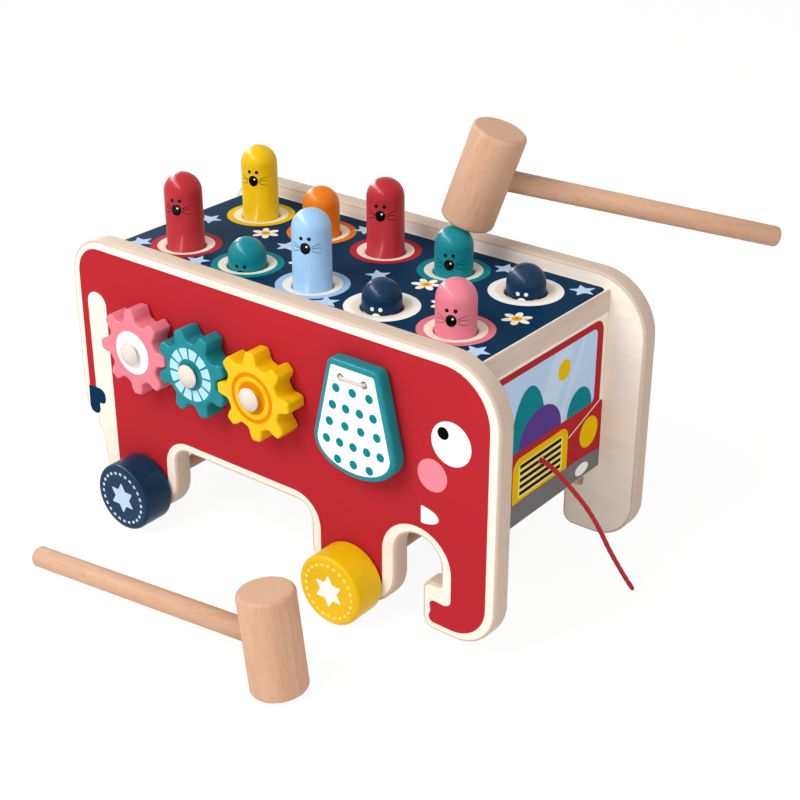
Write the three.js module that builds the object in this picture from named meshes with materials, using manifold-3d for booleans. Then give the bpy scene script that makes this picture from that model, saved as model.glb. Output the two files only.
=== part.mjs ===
// A wooden whack-a-mole toy in the shape of a small elephant on four wheels.
// Two side panels carry a top board with ten mole pegs, two end boards and a
// guide board that traps the collar of each peg. Three meshing gears turn on
// the near panel, an ear flaps on each side, a pull cord leaves the front
// board, and two mallets go with it: one lies on the floor, one has just come
// down on a peg.
//
// Millimetres, +Z up, +X to the front of the elephant, -Y to the near side.
// The origin is on the floor, under the middle of everything but the cord.

import * as THREE from 'three';
import { mergeVertices } from 'three/addons/utils/BufferGeometryUtils.js';
import Module from 'manifold-3d';

const wasm = await Module();
wasm.setup();

// Side panels. Heights are taken from the bottom of the legs.
const panelThickness = 12;
const panelHeight = 169.3;
const panelEase = 1;
const topFrontRadius = 35.5;
const topRearRadius = 27;
const bodyWidth = 129;

const trunkThickness = 36;
const trunkLift = 1.2;
const trunkHeelRadius = 27;
const trunkTipReach = 11.9;
const trunkTipHeight = 31.4;
const trunkTipToeRadius = 7;
const trunkTipTopRadius = 5.5;
const trunkInnerRadius = 1.6;
const archWidth = 31.2;
const archHeight = 57.5;

const frontLegWidth = 60.4;
const rearLegWidth = 63.7;
const footRadius = 25;
const bellyWidth = 108.2;
const bellyHeight = 48.7;
const bellyRadius = 10.5;

const tailOverhang = 14.8;
const tailNotchHeight = 33.5;
const tailNotchStep = 5;
const tailNotchRise = 10;
const tailNotchRadius = 4;
const tailTipRise = 17;
const tailTipWidth = 7.4;
const tailTipRadius = 3;
const tailBackRise = 16;
const tailBackRadius = 12;

// Boards between the panels
const boardDrop = 8.5;
const topBoardThickness = 13.4;
const frontRecess = 24.6;
const rearRecess = 18.3;
const endBoardThickness = 12;
const endBoardHeight = 48;
const guideThickness = 10;
const boardGap = 0.2;

// Mole pegs
const pegRadius = 11.25;
const pegPitch = 50;
const pegRowSpacing = 66;
const pegColumns = 5;
const pegStroke = 28.8;
const pegLow = 16.2;
const pegCollarRadius = 14.5;
const pegCollarThickness = 4;
const pegTailShow = 2.2;
const pegFootEase = 1;
const pegHoleRadius = 12;
const pegHoleRound = 0.8;
const guideClearance = 0.35;
const stopGap = 0.3;
const pegHalfRaise = 12.8;
const pegStruckRaise = 10.6;
const pegRaises = {
  near: [pegStroke, 0, pegStroke, 0, pegHalfRaise],
  far: [pegStroke, pegHalfRaise, pegStroke, pegStruckRaise, 0],
};

// Wheels and axles
const wheelRadius = 21.5;
const wheelThickness = 21.6;
const wheelRound = 2;
const wheelGap = 1;
const axleRadius = 4;
const axleRise = 15;
const axleSeatDepth = 14;
const axleSeatGap = 0.1;
const axleRunGap = 0.4;
const frontAxleInset = 31.3;
const rearAxleInset = 25.8;

// Gears and their pins
const gearTeeth = 8;
const gearOuterRadius = 26.8;
const gearRootRadius = 19.9;
const gearSpacing = 47.3;
const gearThickness = 14;
const gearToothGap = 1.1;
const gearTipEase = 0.6;
const gearDrop = 55.9;
const gearMiddleInset = 111.5;
const gearStartAngle = THREE.MathUtils.degToRad(3);
const gearFloat = 1;
const gearCount = 3;
const gearPressureAngle = THREE.MathUtils.degToRad(27);
const pinRadius = 4;
const pinSeatDepth = 9;
const pinSeatGap = 0.1;
const pinRunGap = 0.3;
const pinCapRadius = 8;
const pinCapHeight = 4;

// Ears and the elastic that ties them on
const earInset = 87.3;
const earTopDrop = 17.4;
const earHeight = 67.5;
const earWidth = 56.2;
const earTopWidth = 34;
const earTopRadius = 4;
const earThickness = 9;
const earEase = 1.5;
const earFloat = 1.2;
const earCurveShares = [[0.985, 0.32], [1.08, 0.142], [0.62, 0], [0, 0]];
const elasticRadius = 1.1;
const elasticHoleRadius = 2.2;
const elasticSpacing = 16;
const elasticDrop = 9.3;
const elasticBend = 2.4;
const elasticStand = 0.35;
const elasticPanelGap = 0.3;
const elasticPanelClearance = 0.15;

// Pull cord
const cordRadius = 1.45;
const cordHoleRadius = 2.1;
const cordExitDrop = 68.1;
const cordStartGap = 0.3;
const knotRadius = 4;
const knotGap = 0.3;
const knotReachShare = 1.5;
const knotDepthShare = 0.5;
const knotTurns = [2, 3];
const cordRoute = [
  [0, 0, 0],
  [1.8, 0, 0],
  [4.2, 1.2, -1.8],
  [7.6, 3.8, -6],
  [11.6, 7.4, -12.4],
  [16, 10.9, -19.6],
  [20.8, 14.5, -27.6],
  [25.2, 17.8, -36.4],
  [29.2, 21, -46.2],
  [32.9, 23.9, -56.2],
  [37, 27, -66],
  [41.4, 30.2, -75.6],
  [45.6, 33.3, -84.1],
];

// Mallets
const headRadius = 15.9;
const headLength = 58.9;
const headRound = 2.5;
const handleRadius = 6.2;
const handleReach = 191.4;
const handleTipRound = 1.5;
const handleSeatDepth = 12;
const handleSeatGap = 0.1;
const lyingMalletInset = 80.8;
const lyingMalletStand = 97;
const lyingMalletAngle = THREE.MathUtils.degToRad(-0.8);
const strikeColumn = 3;
const strikeGap = 0.3;
const strikeAlong = 6;
const strikeAcross = 10.5;
const strikeHeadingAngle = THREE.MathUtils.degToRad(50.8);
const strikeDipAngle = THREE.MathUtils.degToRad(15.8);
const strikeRollAngle = THREE.MathUtils.degToRad(10.3);

// How finely the round forms are cut
const overrun = 2;
const cornerSteps = 5;
const pegSides = 16;
const pegDomeSteps = 4;
const holeSides = 16;
const holeRoundSteps = 2;
const boreSides = 16;
const wheelSides = 28;
const roundSteps = 2;
const gearFlankSteps = 4;
const malletSides = 24;
const handleSides = 16;
const cordSides = 8;
const cordSteps = 18;
const elasticSteps = 18;
const knotSteps = 26;

// Places that follow from the sizes above
const frontX = (trunkThickness + archWidth + frontLegWidth + bellyWidth + rearLegWidth + tailOverhang) / 2;
const rearX = -frontX;
const trunkInnerX = frontX - trunkThickness;
const archRearX = trunkInnerX - archWidth;
const bellyFrontX = archRearX - frontLegWidth;
const bellyRearX = bellyFrontX - bellyWidth;
const legRearX = bellyRearX - rearLegWidth;
const frontAxleX = bellyFrontX + frontAxleInset;
const rearAxleX = bellyRearX - rearAxleInset;
const rideHeight = wheelRadius - axleRise;

const innerY = bodyWidth / 2;
const outerY = innerY + panelThickness;
const boardY = innerY - boardGap;
const boardFrontX = frontX - frontRecess;
const boardRearX = rearX + rearRecess;
const boardTop = panelHeight - boardDrop;
const boardUnder = boardTop - topBoardThickness;
const guideTop = boardUnder - pegStroke - pegCollarThickness - 2 * stopGap;
const guideUnder = guideTop - guideThickness;
const gridX = (boardFrontX + boardRearX) / 2;

const pegShank = pegStroke + pegCollarThickness + stopGap + topBoardThickness + pegLow;
const pegTail = guideThickness + pegStroke + pegTailShow;
const collarRest = guideTop + stopGap;

const gearHeight = panelHeight - gearDrop;
const gearFaceY = outerY + gearFloat + gearThickness;
const gearMiddleX = rearX + gearMiddleInset;
const earX = frontX - earInset;
const earBackY = outerY + earFloat;
const earTopHeight = panelHeight - earTopDrop;
const elasticHeight = earTopHeight - elasticDrop;
const cordStartX = boardFrontX + cordStartGap;
const cordExitHeight = boardUnder - cordExitDrop;

const colours = {
  red: 0xb8161c,
  birch: 0xe2c08d,
  navy: 0x1d2447,
  yellow: 0xf3c313,
  teal: 0x1f8e97,
  pink: 0xf08f9b,
  orange: 0xee7c1a,
  lightBlue: 0x9fdcec,
  cream: 0xf4ead8,
  beech: 0xe8c9a0,
  white: 0xf4f4f0,
};

const pegColours = {
  near: ['red', 'teal', 'lightBlue', 'navy', 'pink'],
  far: ['yellow', 'orange', 'red', 'teal', 'navy'],
};

// Turning geometries into solids and back

function toSolid(geometry) {
  const bare = geometry.clone();
  bare.deleteAttribute('normal');
  bare.deleteAttribute('uv');
  const merged = mergeVertices(bare);
  const vertProperties = new Float32Array(merged.attributes.position.array);
  const triVerts = new Uint32Array(merged.index.array);
  return new wasm.Manifold(new wasm.Mesh({ numProp: 3, vertProperties, triVerts }));
}

function fromSolid(solid) {
  const mesh = solid.getMesh();
  const geometry = new THREE.BufferGeometry();
  geometry.setAttribute('position', new THREE.BufferAttribute(new Float32Array(mesh.vertProperties), 3));
  geometry.setIndex(new THREE.BufferAttribute(new Uint32Array(mesh.triVerts), 1));
  geometry.computeVertexNormals();
  return geometry;
}

function cut(geometry, cutters) {
  let solid = toSolid(geometry);
  for (const cutter of cutters) {
    solid = solid.subtract(toSolid(cutter));
  }
  return fromSolid(solid);
}

function join(geometries) {
  let solid = toSolid(geometries[0]);
  for (const geometry of geometries.slice(1)) {
    solid = solid.add(toSolid(geometry));
  }
  return fromSolid(solid);
}

// Outlines

// A closed outline through corners [x, z, radius], each rounded to its radius.
function roundedOutline(corners) {
  const shape = new THREE.Shape();
  corners.forEach(([x, z, radius], i) => {
    const corner = new THREE.Vector2(x, z);
    const before = new THREE.Vector2(...corners.at(i - 1).slice(0, 2));
    const after = new THREE.Vector2(...corners[(i + 1) % corners.length].slice(0, 2));
    addFillet(shape, before, corner, after, radius, i === 0);
  });
  shape.closePath();
  return shape;
}

function addFillet(shape, before, corner, after, radius, first) {
  const back = before.clone().sub(corner).normalize();
  const on = after.clone().sub(corner).normalize();
  const half = Math.acos(THREE.MathUtils.clamp(back.dot(on), -1, 1)) / 2;
  const start = corner.clone().addScaledVector(back, radius / Math.tan(half));
  const centre = corner.clone().addScaledVector(back.clone().add(on).normalize(), radius / Math.sin(half));
  const turn = Math.sign(back.cross(on));
  const from = start.clone().sub(centre).angle();
  const sweep = Math.PI - 2 * half;
  const steps = Math.max(2, Math.ceil(cornerSteps * sweep / (Math.PI / 2)));
  for (let k = 0; k <= steps; k += 1) {
    const angle = from - turn * sweep * k / steps;
    const x = centre.x + radius * Math.cos(angle);
    const z = centre.y + radius * Math.sin(angle);
    if (first && k === 0) {
      shape.moveTo(x, z);
    } else {
      shape.lineTo(x, z);
    }
  }
}

// A plate of the given outline, drawn in X and Z, that lies from y = 0 towards
// -Y and has its edges eased on both faces.
function plate(shape, thickness, ease, easeSteps) {
  const geometry = new THREE.ExtrudeGeometry(shape, {
    depth: thickness - 2 * ease,
    bevelEnabled: ease > 0,
    bevelThickness: ease,
    bevelSize: ease,
    bevelOffset: -ease,
    bevelSegments: easeSteps,
    curveSegments: cornerSteps,
    steps: 1,
  });
  geometry.translate(0, 0, ease);
  geometry.rotateX(Math.PI / 2);
  return geometry;
}

// A flat board between two corners, its thickness along Z.
function board(x0, x1, y0, y1, z0, z1) {
  const geometry = new THREE.BoxGeometry(x1 - x0, y1 - y0, z1 - z0);
  geometry.translate((x0 + x1) / 2, (y0 + y1) / 2, (z0 + z1) / 2);
  return geometry;
}

// A revolved form, its profile given as [radius, height] and its axis on Z.
function turned(profile, sides) {
  const points = profile.map(([radius, height]) => new THREE.Vector2(radius, height));
  const geometry = new THREE.LatheGeometry(points, sides);
  geometry.rotateX(Math.PI / 2);
  return geometry;
}

// A quarter round from angle a to angle b about a centre, as profile points.
function arcPoints(radius, height, size, a, b, steps) {
  const points = [];
  for (let k = 0; k <= steps; k += 1) {
    const angle = a + (b - a) * k / steps;
    points.push([radius + size * Math.cos(angle), height + size * Math.sin(angle)]);
  }
  return points;
}

// A round cutter or rod along Y, from y0 to y1.
function rodAlongY(radius, y0, y1, sides) {
  const geometry = new THREE.CylinderGeometry(radius, radius, y1 - y0, sides);
  geometry.translate(0, (y0 + y1) / 2, 0);
  return geometry;
}

function rodAlongX(radius, x0, x1, sides) {
  const geometry = new THREE.CylinderGeometry(radius, radius, x1 - x0, sides);
  geometry.rotateZ(-Math.PI / 2);
  geometry.translate((x0 + x1) / 2, 0, 0);
  return geometry;
}

// A round bar along a curve, with flat ends.
function tube(curve, radius, steps) {
  const section = new THREE.Shape();
  for (let k = 0; k < cordSides; k += 1) {
    const angle = 2 * Math.PI * k / cordSides;
    const x = radius * Math.cos(angle);
    const y = radius * Math.sin(angle);
    if (k === 0) {
      section.moveTo(x, y);
    } else {
      section.lineTo(x, y);
    }
  }
  section.closePath();
  return new THREE.ExtrudeGeometry(section, { extrudePath: curve, steps, curveSegments: 1 });
}

// Adding named pieces

function material(colour, roughness, metalness) {
  return new THREE.MeshStandardMaterial({ color: colours[colour], roughness, metalness });
}

function addPiece(group, name, geometry, finish) {
  const mesh = new THREE.Mesh(geometry, finish);
  mesh.name = name;
  group.add(mesh);
  return mesh;
}

// Side panels

function panelOutline() {
  const tipX = trunkInnerX - trunkTipReach;
  const notchX = legRearX - tailNotchStep;
  const notchTop = tailNotchHeight + tailTipRise;
  return roundedOutline([
    [frontX, panelHeight, topFrontRadius],
    [rearX, panelHeight, topRearRadius],
    [rearX, notchTop + tailBackRise, tailBackRadius],
    [notchX - tailTipWidth, notchTop, tailTipRadius],
    [notchX, notchTop, panelEase],
    [notchX, tailNotchHeight + tailNotchRise, tailNotchRadius],
    [legRearX, tailNotchHeight, tailNotchRadius],
    [legRearX, 0, footRadius],
    [bellyRearX, 0, footRadius],
    [bellyRearX, bellyHeight, bellyRadius],
    [bellyFrontX, bellyHeight, bellyRadius],
    [bellyFrontX, 0, footRadius],
    [archRearX, 0, footRadius],
    [archRearX, archHeight, archWidth / 2],
    [trunkInnerX, archHeight, archWidth / 2],
    [trunkInnerX, trunkTipHeight, trunkInnerRadius],
    [tipX, trunkTipHeight, trunkTipTopRadius],
    [tipX, trunkLift, trunkTipToeRadius],
    [frontX, trunkLift, trunkHeelRadius],
  ]);
}

function throughHole(x, z, radius) {
  const cutter = rodAlongY(radius, -panelThickness - overrun, overrun, boreSides);
  cutter.translate(x, 0, z);
  return cutter;
}

function panelCuts() {
  const cuts = [frontAxleX, rearAxleX].map((x) => throughHole(x, axleRise, axleRadius + axleRunGap));
  for (const side of [-1, 1]) {
    cuts.push(throughHole(earX + side * elasticSpacing / 2, elasticHeight, elasticRadius + elasticPanelClearance));
  }
  return cuts;
}

function pinSockets() {
  return gearPlaces().map((x) => {
    const cutter = rodAlongY(pinRadius + pinSeatGap, -panelThickness - overrun, pinSeatDepth - panelThickness, boreSides);
    cutter.translate(x, 0, gearHeight);
    return cutter;
  });
}

function addPanels(group) {
  const blank = plate(panelOutline(), panelThickness, panelEase, 1);
  const near = cut(blank, [...panelCuts(), ...pinSockets()]);
  near.translate(0, -innerY, 0);
  addPiece(group, 'near_side_panel', near, material('red', 0.35, 0));
  const far = cut(blank, panelCuts());
  far.translate(0, outerY, 0);
  addPiece(group, 'far_side_panel', far, material('red', 0.35, 0));
}

// Boards

function pegPlaces() {
  const places = [];
  for (const [row, y] of [['near', -pegRowSpacing / 2], ['far', pegRowSpacing / 2]]) {
    for (let column = 0; column < pegColumns; column += 1) {
      const x = gridX + (column - (pegColumns - 1) / 2) * pegPitch;
      places.push({ row, column, x, y, raise: pegRaises[row][column], colour: pegColours[row][column] });
    }
  }
  return places;
}

function moleHoleCutter() {
  const shoulder = boardTop - pegHoleRound;
  const lip = arcPoints(pegHoleRadius + pegHoleRound, shoulder, pegHoleRound, Math.PI, Math.PI / 2, holeRoundSteps);
  const profile = [
    [0, boardUnder - overrun],
    [pegHoleRadius, boardUnder - overrun],
    ...lip,
    [pegHoleRadius + pegHoleRound, boardTop + overrun],
    [0, boardTop + overrun],
  ];
  return turned(profile, holeSides);
}

function addTopBoard(group) {
  const blank = board(boardRearX, boardFrontX, -boardY, boardY, boardUnder, boardTop);
  const cuts = pegPlaces().map(({ x, y }) => moleHoleCutter().translate(x, y, 0));
  addPiece(group, 'top_board', cut(blank, cuts), material('navy', 0.35, 0));
}

function addGuideBoard(group) {
  const rear = boardRearX + endBoardThickness + boardGap;
  const front = boardFrontX - endBoardThickness - boardGap;
  const blank = board(rear, front, -boardY, boardY, guideUnder, guideTop);
  const bore = pegRadius + guideClearance;
  const profile = [
    [0, guideUnder - overrun],
    [bore, guideUnder - overrun],
    [bore, guideTop + overrun],
    [0, guideTop + overrun],
  ];
  const cuts = pegPlaces().map(({ x, y }) => turned(profile, boreSides).translate(x, y, 0));
  addPiece(group, 'guide_board', cut(blank, cuts), material('birch', 0.6, 0));
}

function addEndBoards(group) {
  const top = boardUnder - boardGap;
  const rear = board(boardRearX, boardRearX + endBoardThickness, -boardY, boardY, endBoardHeight, top);
  addPiece(group, 'rear_end_board', rear, material('red', 0.35, 0));
  const blank = board(boardFrontX - endBoardThickness, boardFrontX, -boardY, boardY, endBoardHeight, top);
  const hole = rodAlongX(cordHoleRadius, boardFrontX - endBoardThickness - overrun, boardFrontX + overrun, boreSides);
  hole.translate(0, 0, cordExitHeight);
  addPiece(group, 'front_end_board', cut(blank, [hole]), material('red', 0.35, 0));
}

// Mole pegs: a tail that slides in the guide board, a collar that is stopped by
// both boards, and a shank with a round head. Height 0 is the collar's foot.

function pegShape() {
  const dome = arcPoints(0, pegShank - pegRadius, pegRadius, 0, Math.PI / 2, pegDomeSteps).slice(0, -1);
  return turned([
    [0, -pegTail],
    [pegRadius - pegFootEase, -pegTail],
    [pegRadius, pegFootEase - pegTail],
    [pegRadius, 0],
    [pegCollarRadius, 0],
    [pegCollarRadius, pegCollarThickness],
    [pegRadius, pegCollarThickness],
    ...dome,
    [0, pegShank],
  ], pegSides);
}

function addPegs(group) {
  for (const place of pegPlaces()) {
    const name = `${place.row}_peg_${place.column + 1}`;
    const peg = addPiece(group, name, pegShape(), material(place.colour, 0.3, 0));
    peg.position.set(place.x, place.y, collarRest + place.raise);
  }
}

// Wheels: a turned disc with rounded rims and a blind seat for the axle. The
// disc lies from height 0, its inner face, to its outer face.

function wheelShape() {
  const seat = axleRadius + axleSeatGap;
  const rim = wheelRadius - wheelRound;
  return turned([
    [0, axleSeatDepth],
    [seat, axleSeatDepth],
    [seat, 0],
    ...arcPoints(rim, wheelRound, wheelRound, -Math.PI / 2, 0, roundSteps),
    ...arcPoints(rim, wheelThickness - wheelRound, wheelRound, 0, Math.PI / 2, roundSteps),
    [0, wheelThickness],
  ], wheelSides);
}

function addWheelset(group, name, x, colour) {
  const inner = outerY + wheelGap;
  const reach = inner + axleSeatDepth - axleSeatGap;
  const axle = rodAlongY(axleRadius, -reach, reach, boreSides);
  addPiece(group, `${name}_axle`, axle, material('beech', 0.6, 0)).position.set(x, 0, axleRise);
  const near = addPiece(group, `${name}_near_wheel`, wheelShape().rotateX(Math.PI / 2), material(colour, 0.35, 0));
  near.position.set(x, -inner, axleRise);
  const far = addPiece(group, `${name}_far_wheel`, wheelShape().rotateX(-Math.PI / 2), material(colour, 0.35, 0));
  far.position.set(x, inner, axleRise);
}

// Gears with involute flanks

function gearPlaces() {
  const places = [];
  for (let k = 0; k < gearCount; k += 1) {
    places.push(gearMiddleX + (k - (gearCount - 1) / 2) * gearSpacing);
  }
  return places;
}

function involute(angle) {
  return Math.tan(angle) - angle;
}

function gearOutline() {
  const pitchRadius = gearSpacing / 2;
  const baseRadius = pitchRadius * Math.cos(gearPressureAngle);
  const halfAtPitch = (Math.PI * pitchRadius / gearTeeth - gearToothGap / 2) / (2 * pitchRadius);
  const halfAtBase = halfAtPitch + involute(gearPressureAngle);
  const flank = [[gearRootRadius, halfAtBase]];
  const tipRadius = gearOuterRadius - gearTipEase;
  for (let k = 0; k <= gearFlankSteps; k += 1) {
    const radius = baseRadius + (tipRadius - baseRadius) * k / gearFlankSteps;
    flank.push([radius, halfAtBase - involute(Math.acos(baseRadius / radius))]);
  }
  const tipHalf = flank.at(-1)[1] - gearTipEase / gearOuterRadius;
  flank.push([gearOuterRadius, tipHalf]);
  const points = [];
  for (let tooth = 0; tooth < gearTeeth; tooth += 1) {
    const middle = 2 * Math.PI * tooth / gearTeeth;
    for (const [radius, half] of flank) {
      points.push(polar(radius, middle - half));
    }
    for (const [radius, half] of [...flank].reverse()) {
      points.push(polar(radius, middle + half));
    }
  }
  return new THREE.Shape(points);
}

function polar(radius, angle) {
  return new THREE.Vector2(radius * Math.cos(angle), radius * Math.sin(angle));
}

function gearShape() {
  const bore = rodAlongY(pinRadius + pinRunGap, -gearThickness - overrun, overrun, boreSides);
  return cut(plate(gearOutline(), gearThickness, 0, 1), [bore]);
}

// The pin stands in its socket at y = 0, runs through the gear and ends in a
// domed cap in front of it.
function pinShape() {
  const underCap = gearFaceY + pinRunGap - outerY;
  const capSphere = (pinCapRadius ** 2 + pinCapHeight ** 2) / (2 * pinCapHeight);
  const capCentre = underCap + pinCapHeight - capSphere;
  const edge = Math.asin((underCap - capCentre) / capSphere);
  return turned([
    [0, pinSeatGap - pinSeatDepth],
    [pinRadius, pinSeatGap - pinSeatDepth],
    [pinRadius, underCap],
    ...arcPoints(0, capCentre, capSphere, edge, Math.PI / 2, roundSteps).slice(0, -1),
    [0, underCap + pinCapHeight],
  ], boreSides);
}

function addGears(group) {
  const names = ['rear', 'middle', 'front'];
  const gearColours = ['pink', 'teal', 'yellow'];
  gearPlaces().forEach((x, k) => {
    const gear = addPiece(group, `${names[k]}_gear`, gearShape(), material(gearColours[k], 0.35, 0));
    gear.position.set(x, -outerY - gearFloat, gearHeight);
    gear.rotation.y = k % 2 === 0 ? -gearStartAngle : gearStartAngle + Math.PI / gearTeeth;
    const pin = addPiece(group, `${names[k]}_gear_pin`, pinShape().rotateX(Math.PI / 2), material('cream', 0.5, 0));
    pin.position.set(x, -outerY, gearHeight);
  });
}

// Ears, drawn about their own middle with height 0 at their lowest point

function earOutline() {
  const half = earWidth / 2;
  const [cheek, bulge, chin, foot] = earCurveShares.map(([x, z]) => [x * half, z * earHeight]);
  const top = earTopWidth / 2;
  const slope = Math.atan2(cheek[0] - top, earHeight - cheek[1]);
  const shape = new THREE.Shape();
  shape.moveTo(foot[0], foot[1]);
  shape.bezierCurveTo(chin[0], chin[1], bulge[0], bulge[1], cheek[0], cheek[1]);
  shape.lineTo(top + earTopRadius * Math.sin(slope), earHeight - earTopRadius * Math.cos(slope));
  shape.quadraticCurveTo(top, earHeight, top - earTopRadius, earHeight);
  shape.lineTo(earTopRadius - top, earHeight);
  shape.quadraticCurveTo(-top, earHeight, -top - earTopRadius * Math.sin(slope), earHeight - earTopRadius * Math.cos(slope));
  shape.lineTo(-cheek[0], cheek[1]);
  shape.bezierCurveTo(-bulge[0], bulge[1], -chin[0], chin[1], foot[0], foot[1]);
  return shape;
}

function earShape() {
  const cuts = [-1, 1].map((side) => {
    const cutter = rodAlongY(elasticHoleRadius, -earThickness - overrun, overrun, boreSides);
    return cutter.translate(side * elasticSpacing / 2, 0, earHeight - elasticDrop);
  });
  return cut(plate(earOutline(), earThickness, earEase, 2), cuts);
}

// The elastic comes out of one hole, crosses the front of the ear and goes
// into the other. It starts just off the panel.
function elasticShape() {
  const half = elasticSpacing / 2;
  const start = earFloat - elasticPanelGap;
  const front = -earThickness - elasticStand - elasticRadius;
  const path = new THREE.CatmullRomCurve3([
    new THREE.Vector3(-half, start, 0),
    new THREE.Vector3(-half, (start + front) / 2, 0),
    new THREE.Vector3(-half, front + elasticBend, 0),
    new THREE.Vector3(elasticBend - half, front, 0),
    new THREE.Vector3(0, front, 0),
    new THREE.Vector3(half - elasticBend, front, 0),
    new THREE.Vector3(half, front + elasticBend, 0),
    new THREE.Vector3(half, (start + front) / 2, 0),
    new THREE.Vector3(half, start, 0),
  ], false, 'centripetal');
  return tube(path, elasticRadius, elasticSteps);
}

function addEar(group, side, turnedRound) {
  const ear = new THREE.Group();
  const base = earTopHeight - earHeight;
  ear.position.set(earX, turnedRound ? earBackY : -earBackY, base);
  ear.rotation.z = turnedRound ? Math.PI : 0;
  group.add(ear);
  addPiece(ear, `${side}_ear`, earShape(), material('teal', 0.35, 0));
  const elastic = addPiece(ear, `${side}_ear_elastic`, elasticShape(), material('white', 0.8, 0));
  elastic.position.z = earHeight - elasticDrop;
}

// Pull cord and the knot that holds it behind the front board

function addCord(group) {
  const points = cordRoute.map(([x, y, z]) => new THREE.Vector3(x, y, z));
  const cord = addPiece(group, 'pull_cord', tube(new THREE.CatmullRomCurve3(points), cordRadius, cordSteps), material('red', 0.8, 0));
  cord.position.set(cordStartX, 0, cordExitHeight);
}

function knotShape() {
  const coil = new THREE.TorusKnotGeometry(knotRadius, cordRadius, knotSteps, cordSides, ...knotTurns);
  coil.rotateY(Math.PI / 2);
  const back = boardFrontX - endBoardThickness - knotGap - cordRadius - knotRadius * knotDepthShare;
  coil.translate(back, 0, knotRadius * knotReachShare);
  const stub = rodAlongX(cordRadius, back, boardFrontX, cordSides);
  return join([coil, stub]);
}

function addKnot(group) {
  addPiece(group, 'cord_knot', knotShape(), material('red', 0.8, 0)).position.z = cordExitHeight;
}

// Mallets, drawn with the head upright about the origin and the handle along +X

function headShape() {
  const half = headLength / 2;
  const rim = headRadius - headRound;
  const head = turned([
    [0, -half],
    ...arcPoints(rim, headRound - half, headRound, -Math.PI / 2, 0, roundSteps),
    ...arcPoints(rim, half - headRound, headRound, 0, Math.PI / 2, roundSteps),
    [0, half],
  ], malletSides);
  const seat = rodAlongX(handleRadius + handleSeatGap, headRadius - handleSeatDepth, headRadius + overrun, handleSides);
  return cut(head, [seat]);
}

function handleShape() {
  const rim = handleRadius - handleTipRound;
  const start = headRadius - handleSeatDepth + handleSeatGap;
  const handle = turned([
    [0, start],
    [handleRadius, start],
    ...arcPoints(rim, handleReach - handleTipRound, handleTipRound, 0, Math.PI / 2, roundSteps),
    [0, handleReach],
  ], handleSides);
  return handle.rotateY(Math.PI / 2);
}

function makeMallet(name) {
  const mallet = new THREE.Group();
  addPiece(mallet, `${name}_head`, headShape(), material('beech', 0.55, 0));
  addPiece(mallet, `${name}_handle`, handleShape(), material('beech', 0.55, 0));
  return mallet;
}

// The first mallet lies on the floor on the rim of its head and its handle's
// tip, which sets its slope.
function addLyingMallet(group) {
  const rimOut = headRadius - headRound;
  const rimDown = headLength / 2 - headRound;
  const tipOut = handleReach - handleTipRound;
  const tipDown = handleRadius - handleTipRound;
  const run = tipOut - rimOut;
  const drop = rimDown - tipDown;
  const slope = Math.atan2(drop, run) + Math.asin((headRound - handleTipRound) / Math.hypot(run, drop));
  const height = rimDown * Math.cos(slope) + rimOut * Math.sin(slope) + headRound;
  const mallet = makeMallet('first_mallet');
  mallet.rotation.set(0, slope, Math.PI + lyingMalletAngle, 'ZYX');
  mallet.position.set(frontX - lyingMalletInset, -boardY - lyingMalletStand, height);
  group.add(mallet);
}

// The second mallet has its lower face just over the round head of a raised
// peg, off the middle of the face.
function addStrikingMallet(group) {
  const place = pegPlaces().find(({ row, column }) => row === 'far' && column === strikeColumn);
  const domeHeight = rideHeight + collarRest + place.raise + pegShank - pegRadius;
  const mallet = makeMallet('second_mallet');
  const heading = new THREE.Matrix4().makeRotationZ(strikeHeadingAngle);
  const dip = new THREE.Matrix4().makeRotationY(strikeDipAngle);
  const roll = new THREE.Matrix4().makeRotationX(strikeRollAngle);
  mallet.quaternion.setFromRotationMatrix(heading.multiply(dip).multiply(roll));
  const offset = new THREE.Vector3(strikeAlong, strikeAcross, pegRadius + strikeGap + headLength / 2);
  offset.applyQuaternion(mallet.quaternion);
  mallet.position.set(place.x, place.y, domeHeight).add(offset);
  group.add(mallet);
}

// The whole toy

function buildToy() {
  const toy = new THREE.Group();
  const body = new THREE.Group();
  body.position.z = rideHeight;
  toy.add(body);
  addPanels(body);
  addTopBoard(body);
  addGuideBoard(body);
  addEndBoards(body);
  addPegs(body);
  addWheelset(body, 'front', frontAxleX, 'yellow');
  addWheelset(body, 'rear', rearAxleX, 'navy');
  addGears(body);
  addEar(body, 'near', false);
  addEar(body, 'far', true);
  addKnot(body);
  addLyingMallet(toy);
  addStrikingMallet(toy);
  centreOnFloor(toy);
  addCord(body);
  return toy;
}

// Moves everything so that the origin is under the middle of it.
function centreOnFloor(toy) {
  toy.updateMatrixWorld(true);
  const box = new THREE.Box3().setFromObject(toy, true);
  const middle = box.getCenter(new THREE.Vector3());
  toy.position.set(-middle.x, -middle.y, -box.min.z);
}

export default buildToy();
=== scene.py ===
# The looks of a wooden whack-a-mole toy in the shape of an elephant, built
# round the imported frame. Lengths are in millimetres in the toy's own frame:
# +X to the elephant's front, -Y to the side with the gears, +Z up from the
# floor, y = 0 in the middle of the toy. MM turns them into Blender's metres.

from math import acos, asin, atan2, ceil, copysign, cos, degrees, dist, hypot, pi, radians, sin, tan

import bmesh
import bpy
from mathutils import Matrix, Vector
from mathutils.geometry import tessellate_polygon


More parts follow.
